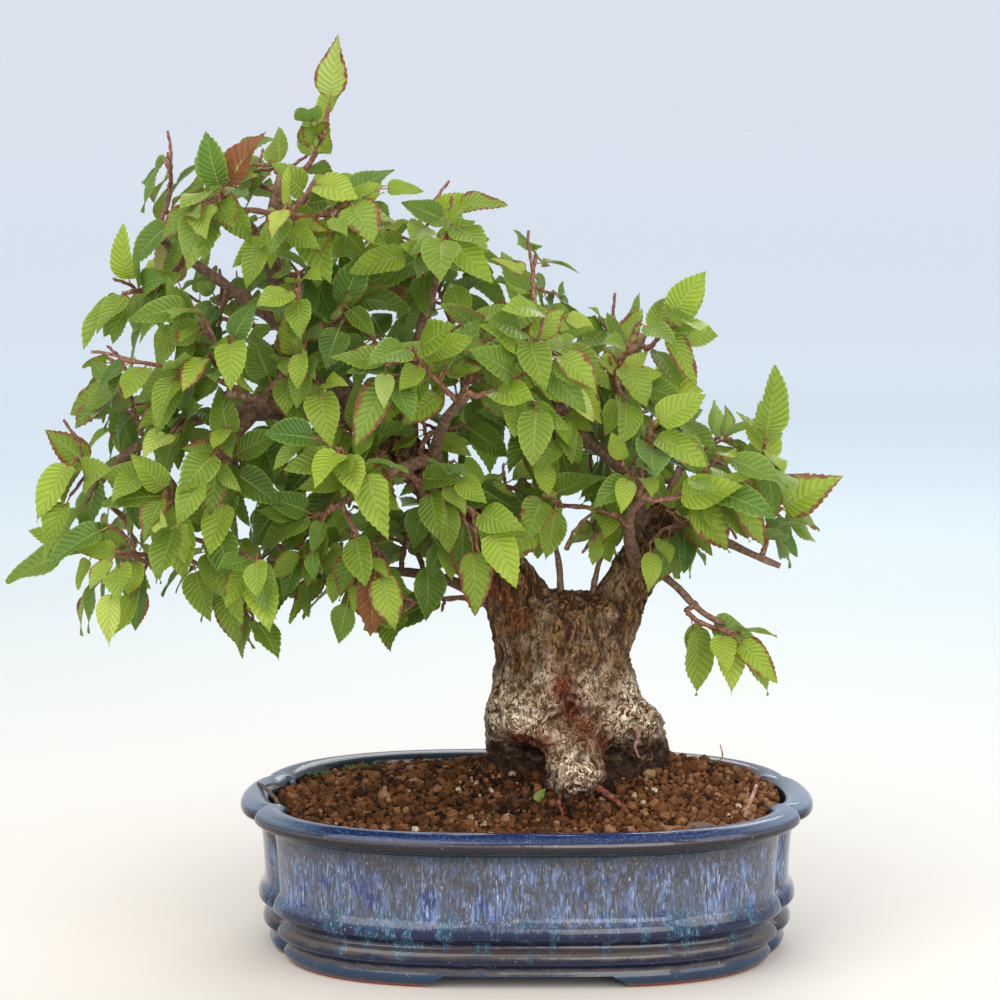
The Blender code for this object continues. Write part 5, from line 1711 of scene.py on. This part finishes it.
def emptiest_place(source, middles, taken):
    """The best of many places in the crown: the furthest from any leaf."""
    best, best_gap = None, -1.0
    for _ in range(140):
        x, z = source.uniform(-198.0, 122.0), source.uniform(130.0, 350.0)
        if edge_distance(x, z) < 16.0:
            continue
        y = CROWN_MIDDLE[1] + source.uniform(-1.0, 0.92) * half_depth(x, z) * 0.95
        spot = Vector((x, y, z))
        gap = min((spot - m).length_squared for m in middles)
        if taken:
            gap = min(gap, min((spot - m).length_squared for m in taken) * 0.7)
        if gap > best_gap:
            best, best_gap = spot, gap
    return best


source = random.Random(SEED + 9)
for twig in twigs:
    lone = twig["number"] < len(LONE_SHOOTS)
    if not lone:
        add_side_twigs(source, bars, twig, twig["number"] + 1, ((1, 0.9), (3, 0.3)))
        note_bars(foliage, twig)
    spots = further_spots(twig, ((1, 0.4), (2, 0.7), (3, 0.1), (3, 0.7)),
                          ((0, 0.6), (1, 0.4), (1, 0.95)))
    spots = spots[:3] if lone else thinned(source, spots)
    hang_leaves(source, foliage, surface, twig, spots, 0.6, FURTHER_TRIES, lone, FURTHER_LENGTH,
                leaf_middles, FURTHER_EDGE)
on_plain_twigs = len(leaf_middles)
taken = [twig["path"][-1] for twig in twigs]
further, first_number = [], 1000
for order in range(FURTHER_SPRAYS):
    target = emptiest_place(source, leaf_middles, taken)
    taken.append(target)
    twig = run_twig(source, bars, surface, samples, used, first_number + order, target)
    if not twig:
        continue
    add_side_twigs(source, bars, twig, order, ((1, 0.7), (2, 0.6), (3, 0.5)))
    note_bars(foliage, twig)
    spots = leaf_spots(twig) + further_spots(
        twig, ((1, 0.9), (2, 0.4), (3, 0.35), (3, 0.75)), ((0, 0.6), (1, 0.4)))
    hang_leaves(source, foliage, surface, twig, thinned(source, spots), LEAF_SAG, FURTHER_TRIES,
                False, FURTHER_LENGTH, leaf_middles, FURTHER_EDGE)
    further.append(twig)
print("leaves on the plain twigs:", on_plain_twigs, "further sprays:", len(further),
      "leaves in all:", len(leaf_middles))

# %% [markdown]
# ## A hornbeam leaf
# The leaf is an egg shape with a point, folded along its midrib. Ten or so pairs of side
# veins run slanting forward, each to a large tooth, and the blade between them stands up in
# pleats. A grid whose rows follow the veins makes this in few faces: even rows are veins and
# lie low, odd rows are the crests between them, and the row ends are the teeth. Each corner
# also keeps its row and its share of the width as a flat map, so that the material can draw
# veins and margins that are finer than the grid.

# %% Draw one leaf
VEIN_PAIRS = 10
LEAF_ROWS = 2 * VEIN_PAIRS + 2
LEAF_COLUMNS = (0.42, 0.80, 1.0)
# The blade's half outline: share of the way round, then along and across
LEAF_EDGE = np.array((
    (0.0, 0.0, 0.0), (0.045, -0.015, 0.30), (0.09, 0.01, 0.58), (0.15, 0.075, 0.81),
    (0.23, 0.175, 0.95), (0.32, 0.29, 1.0), (0.42, 0.41, 0.96), (0.52, 0.53, 0.855),
    (0.62, 0.645, 0.70), (0.72, 0.75, 0.515), (0.81, 0.84, 0.335), (0.89, 0.91, 0.18),
    (0.95, 0.96, 0.075), (1.0, 1.0, 0.0)))
SLENDER = 0.92
PLEAT = 0.013


def fine_leaf(leaf, source):
    """Points, quads and the flat map of one leaf."""
    length, half = leaf["length"], leaf["width"] / 2.0 * SLENDER
    rows = np.arange(LEAF_ROWS + 1)
    around = rows / LEAF_ROWS
    crest = np.where(rows % 2 == 1, 1.0, -1.0)
    mid_x = around ** 1.9
    edge_x = np.interp(around, LEAF_EDGE[:, 0], LEAF_EDGE[:, 1])
    edge_y = np.interp(around, LEAF_EDGE[:, 0], LEAF_EDGE[:, 2])
    tooth = -crest * np.minimum(1.0, edge_y * 3.0)
    jitter = np.array([source.uniform(-0.020, 0.020) for _ in rows])
    edge_y = np.maximum(0.0, edge_y + 0.025 * tooth + jitter * (edge_y > 0.1))
    edge_x = edge_x + 0.008 * tooth
    edge_x[-1] = 1.0
    wave = source.uniform(0.0, 6.28)
    twist = source.uniform(-0.35, 0.35)
    curl = source.uniform(-0.18, 0.26)
    columns = [(0.0, mid_x, np.zeros(LEAF_ROWS + 1))]
    for share in LEAF_COLUMNS:
        x = mid_x + (edge_x - mid_x) * share ** 1.12
        columns.append((share, x, edge_y * share))
    sheets = []
    for share, x, y in columns:
        for side in (1.0, -1.0) if share else (1.0,):
            rise = math.sin(math.pi * min(1.0, share * 0.86)) if share else -0.25
            lift = PLEAT * length * crest * rise
            lift = lift * np.minimum(1.0, edge_y * 2.5)
            across_mm = side * y * half
            along = np.maximum(0.0, x)
            z = leaf["fold"] * np.abs(across_mm) - leaf["droop"] * length * along ** 2 + lift
            z = z + curl * half * y ** 2 * np.sin(2.0 + 3.0 * along)
            z = z + 0.042 * length * share ** 2 * np.sin(wave + side * 1.3 + 7.0 * along)
            bent = across_mm * np.cos(twist * along)
            z = z + across_mm * np.sin(twist * along)
            sheets.append(np.stack([x * length, bent, z], axis=1))
    local = np.concatenate(sheets)
    way, face = np.array(leaf["way"]), np.array(leaf["face"])
    across = np.cross(face, way)
    root = np.array(leaf["root"]) + way * STALK_LENGTH
    points = root + local[:, :1] * way + local[:, 1:2] * across + local[:, 2:] * face
    count = LEAF_ROWS + 1
    order = {(0, 0): 0}
    for k in range(len(LEAF_COLUMNS)):
        order[(k + 1, 0)] = 1 + 2 * k
        order[(k + 1, 1)] = 2 + 2 * k
    quads, flat = [], []
    shares = (0.0,) + LEAF_COLUMNS
    for side in (0, 1):
        for k in range(len(LEAF_COLUMNS)):
            inner = order[(k, side)] * count if k else 0
            outer = order[(k + 1, side)] * count
            for i in range(LEAF_ROWS):
                quad = [inner + i, inner + i + 1, outer + i + 1, outer + i]
                corner = [(i / 2.0, shares[k]), ((i + 1) / 2.0, shares[k]),
                          ((i + 1) / 2.0, shares[k + 1]), (i / 2.0, shares[k + 1])]
                if side:
                    quad.reverse()
                    corner.reverse()
                quads.append(quad)
                flat += corner
    return points, quads, flat


example = {"root": Vector(), "way": Vector((1, 0, 0)), "face": Vector((0, 0, 1)), "length": 25.0,
           "width": 16.0, "fold": 0.2, "droop": 0.1}
print("quads in one leaf:", len(fine_leaf(example, random.Random(1))[1]))

# %% [markdown]
# ## Leaf colour
# A living leaf is a thin wet sheet with a waxy skin: light from behind comes through it
# yellow-green, and light from the front gives a soft gloss. The shader is a mix of a glossy
# one and one that lets light through. Young leaves are lime, old ones deep green, and the
# edges of some are scorched brown. Leaves deep in the crown are also painted darker, and those
# on top and at its surface lighter, as painted shade and light. So each leaf keeps three
# numbers: its age with that painted light, its scorch and a chance value.

# %% Make the leaf and its stalk
leaf_skin, tree, shader, spot = start_material("hornbeam_leaf")
kind = add(tree, "Attribute", {"attribute_name": "leaf_kind"}, out="Vector")
age_and_light, scorch, chance = add(tree, "SeparateXYZ", links={0: kind}).node.outputs
flat = add(tree, "UVMap", {"uv_map": "leaf_map"})
vein_row, width_share, _ = add(tree, "SeparateXYZ", links={0: flat}).node.outputs
cloud = add(tree, "TexNoise", {"Scale": 170.0, "Detail": 3.0}, {"Vector": spot})
aged_and_lit = add(tree, "Math", {"operation": "MULTIPLY_ADD", 1: 0.24}, {0: cloud, 2: age_and_light})
aged_and_lit = add(tree, "Math", {"operation": "SUBTRACT", 1: 0.12}, {0: aged_and_lit})
# From deep green to lime, with the leaf's age and with its painted light and shade
green = add(tree, "ValToRGB", {"stops": (
    (0.0, "#48611f"), (0.22, "#658026"), (0.45, "#849c33"), (0.64, "#9db43a"), (0.82, "#b4c653"),
    (1.0, "#cbd874"))}, {0: aged_and_lit})
# Some leaves are a deeper, cooler green than the rest
cool = add(tree, "MapRange", {"From Min": 0.45, "From Max": 0.95, "To Max": 0.6}, {"Value": chance})
# Side veins: the nearest whole row
near_vein = add(tree, "Math", {"operation": "FRACT"}, {0: vein_row})
near_vein = add(tree, "Math", {"operation": "SUBTRACT", 1: 0.5}, {0: near_vein})
near_vein = add(tree, "Math", {"operation": "ABSOLUTE"}, {0: near_vein})
vein = add(tree, "MapRange", {"From Min": 0.40, "From Max": 0.49}, {"Value": near_vein})
midrib = add(tree, "MapRange", {"From Min": 0.085, "From Max": 0.03}, {"Value": width_share})
lines = add(tree, "Math", {"operation": "MAXIMUM"}, {0: vein, 1: midrib})
# Painted shade darkens the blade down into each side vein's fold, and the midrib is pale
fold = add(tree, "MapRange", {"From Min": 0.24, "From Max": 0.50, "To Max": 0.20}, {"Value": near_vein})
pale_rib = add(tree, "Math", {"operation": "MULTIPLY", 1: 0.55}, {0: midrib})
# The margin is paler and yellower than the blade
margin = add(tree, "MapRange", {"From Min": 0.86, "From Max": 1.0, "To Max": 0.45}, {"Value": width_share})
for tone, where in (("#4c7636", cool), ("#33501f", fold), ("#a9bd6c", pale_rib), ("#a9bf4e", margin)):
    green = add(tree, "Mix", {"data_type": "RGBA", 7: shade(tone)}, {0: where, 6: green})
# Scorch creeps in from the margin
burn_noise = add(tree, "TexNoise", {"Scale": 260.0, "Detail": 3.0}, {"Vector": spot})
burn = add(tree, "Math", {"operation": "MULTIPLY_ADD", 1: 0.8}, {0: burn_noise, 2: width_share})
burn = add(tree, "Math", {"operation": "MULTIPLY_ADD", 1: 1.1}, {0: scorch, 2: burn})
burn = add(tree, "MapRange", {"From Min": 1.54, "From Max": 1.68}, {"Value": burn})
brown = add(tree, "Mix", {"data_type": "RGBA", 6: shade("#a0693f"), 7: shade("#6e4128")}, {0: burn_noise})
coloured = add(tree, "Mix", {"data_type": "RGBA"},
               {0: burn, 6: green, 7: brown})
# The underside is duller and paler
under = add(tree, "NewGeometry", out="Backfacing")
half_under = add(tree, "Math", {"operation": "MULTIPLY", 1: 0.42}, {0: under})
sided = add(tree, "Mix", {"data_type": "RGBA", 7: shade("#8fae6c")}, {0: half_under, 6: coloured})
relief = add(tree, "Math", {"operation": "MULTIPLY_ADD", 1: -1.6}, {0: near_vein, 2: lines})
relief = add(tree, "Math", {"operation": "MULTIPLY_ADD", 1: 0.25}, {0: cloud, 2: relief})
dress(tree, shader, sided, {"Roughness": 0.38, "IOR": 1.42, "Specular IOR Level": 0.45}, relief,
      {"Strength": 0.45, "Distance": 0.0009})
# Light that comes through loses its blue
glow_tint = add(tree, "Mix", {"data_type": "RGBA", "blend_type": "MULTIPLY", 0: 1.0,
                              7: (1.0, 1.0, 0.45, 1.0)}, {6: sided})
through = add(tree, "BsdfTranslucent", links={"Color": glow_tint})
mixed = add(tree, "MixShader", {0: 0.28}, {1: shader.outputs[0], 2: through})
tree.links.new(mixed, tree.nodes["Material Output"].inputs["Surface"])

# A twig of this year or last is red-brown and smooth
twig_skin = grainy_material(
    "twig_bark", ((0.3, "#5a3428"), (0.5, "#7d4e3b"), (0.7, "#a67c62")), 700.0, 4.0, {"Roughness": 0.6})
# A leaf's stalk goes from red to green along its length, in patches
stalk_skin = grainy_material(
    "leaf_stalk", ((0.3, "#8a4a34"), (0.6, "#a3773f"), (0.75, "#9aa34f")), 300.0, 2.0, {"Roughness": 0.5})
print("materials so far:", len(bpy.data.materials))

# %% [markdown]
# ## Sprays
# Every plain spray is replaced by one fine piece with its twigs, stalks and leaves. A further
# spray joins the piece whose tip is nearest, so the crown keeps one piece for each plain one.
# A twig runs a little into the wood that carries it, so it grows out of the limb and not
# off its surface. One small leaf more has fallen on the soil beside the front root.

# %% Build the sprays
class Heap:
    """Points, faces and what goes with them, gathered for one piece."""

    def __init__(self):
        self.points, self.faces, self.slots, self.flat, self.kinds = [], [], [], [], []

    def take(self, points, faces, slot, flat=None, kind=(0.5, 0.0, 0.5)):
        start = len(self.points)
        self.points += [tuple(p) for p in points]
        self.kinds += [kind] * len(points)
        corner = 0
        for face in faces:
            self.faces.append(tuple(v + start for v in face))
            self.slots.append(slot)
            for _ in face:
                self.flat.append(flat[corner] if flat else (0.0, 0.5))
                corner += 1

    def build(self, name, materials):
        piece = finish_mesh(name, place_all(self.points), self.faces, materials)
        mesh = piece.data
        mesh.polygons.foreach_set("material_index", self.slots)
        layer = mesh.uv_layers.new(name="leaf_map")
        layer.data.foreach_set("uv", np.array(self.flat, np.float32).ravel())
        write_tone(piece, "leaf_kind", "FLOAT_VECTOR", self.kinds)
        return piece


def bent_twig(path, radii, source):
    """A twig's path as an even curve that changes direction a little at each bud."""
    rows = [(*p, r) for p, r in zip(path, radii)]
    line = curve_through(rows, 4)
    for k in range(2, len(line) - 1):
        line[k][:3] += np.array([source.uniform(-0.35, 0.35) for _ in range(3)])
        line[k][3] *= 1.22 if k % 2 else 0.95
    return split_rows(line)


def leaf_kind(leaf, source):
    """Age and painted light, scorch and chance: lighter leaves stand outside and on top."""
    middle = leaf["root"] + leaf["way"] * 12.0
    depth = abs(middle.y - CROWN_MIDDLE[1]) / CROWN_HALF_DEPTH
    outside = 1.0 - min(1.0, max(0.0, edge_distance(middle.x, middle.z)) / 60.0)
    # Painted light and shade: leaves at the crown's front and back, near and outside its edge and high up
    # are lighter, those deep inside darker; small leaves are lighter as younger ones
    lightness = 0.16 + 0.26 * depth + 0.20 * outside + 0.10 * (middle.z - 200.0) / 150.0
    lightness += source.gauss(0.02, 0.12)
    if source.random() < 0.07:
        lightness += source.uniform(0.15, 0.35)
    if leaf["length"] < 16.0:
        lightness += 0.15
    if edge_distance(middle.x, middle.z) < -6.0:
        lightness += 0.22
    scorch = source.uniform(0.10, 0.42) if source.random() < 0.38 else 0.0
    if source.random() < 0.006:
        scorch = 1.1
    return (min(1.0, max(0.0, lightness)), scorch, source.random())


def fill_spray(heap, twig, source):
    leave = twig["leave"]
    path, radii = bent_twig(twig["path"], twig["radii"], source)
    path.insert(0, twig["path"][0] - leave * 2.8)
    radii.insert(0, twig["radii"][0] * 1.3)
    heap.take(*rod(path, radii, 6), 1)
    for side, radii in twig["sides"]:
        path, radii = bent_twig(side, radii, source)
        heap.take(*rod(path, radii, 5), 1)
    for leaf in twig["leaves"]:
        root, way = leaf["root"], leaf["way"]
        sag = Vector((0.0, 0.0, -0.35))
        stalk = [root - way * 0.3, root + way * STALK_LENGTH * 0.5 + sag, root + way * STALK_LENGTH,
                 root + way * (STALK_LENGTH + leaf["length"] * 0.12) - leaf["face"] * 0.12]
        heap.take(*rod(stalk, (0.46, 0.34, 0.34, 0.12), 4), 2)
        points, quads, flat = fine_leaf(leaf, source)
        heap.take(points, quads, 0, flat, leaf_kind(leaf, source))


heaps = [Heap() for _ in twigs]
source = random.Random(SEED + 13)
for heap, twig in zip(heaps, twigs):
    fill_spray(heap, twig, source)
for twig in further:
    tip = twig["path"][-1]
    nearest = min(range(len(twigs)), key=lambda k: (twigs[k]["path"][-1] - tip).length)
    fill_spray(heaps[nearest], twig, source)
for order, heap in enumerate(heaps, start=1):
    spray = heap.build(f"spray_{order:02d}", [leaf_skin, twig_skin, stalk_skin])
    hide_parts(f"leafy_spray_{order:02d}")
print("faces in the sprays:", sum(len(heap.faces) for heap in heaps))

FALLEN_X, FALLEN_Y = 4.0, -18.0
fallen = {"root": Vector((FALLEN_X, FALLEN_Y, soil_height(FALLEN_X, FALLEN_Y) + 2.0)),
          "way": Vector((0.5, 0.2, 0.8)).normalized(),
          "length": 6.5, "width": 4.6, "fold": 0.35, "droop": 0.25}
fallen["face"] = fallen["way"].cross(Vector((0.9, 0.2, -0.3))).normalized()
litter = Heap()
points, quads, flat = fine_leaf(fallen, source)
litter.take(points - np.array(fallen["way"]) * STALK_LENGTH, quads, 0, flat, (0.6, 0.1, 0.2))
litter.build("fallen_leaf", [leaf_skin])
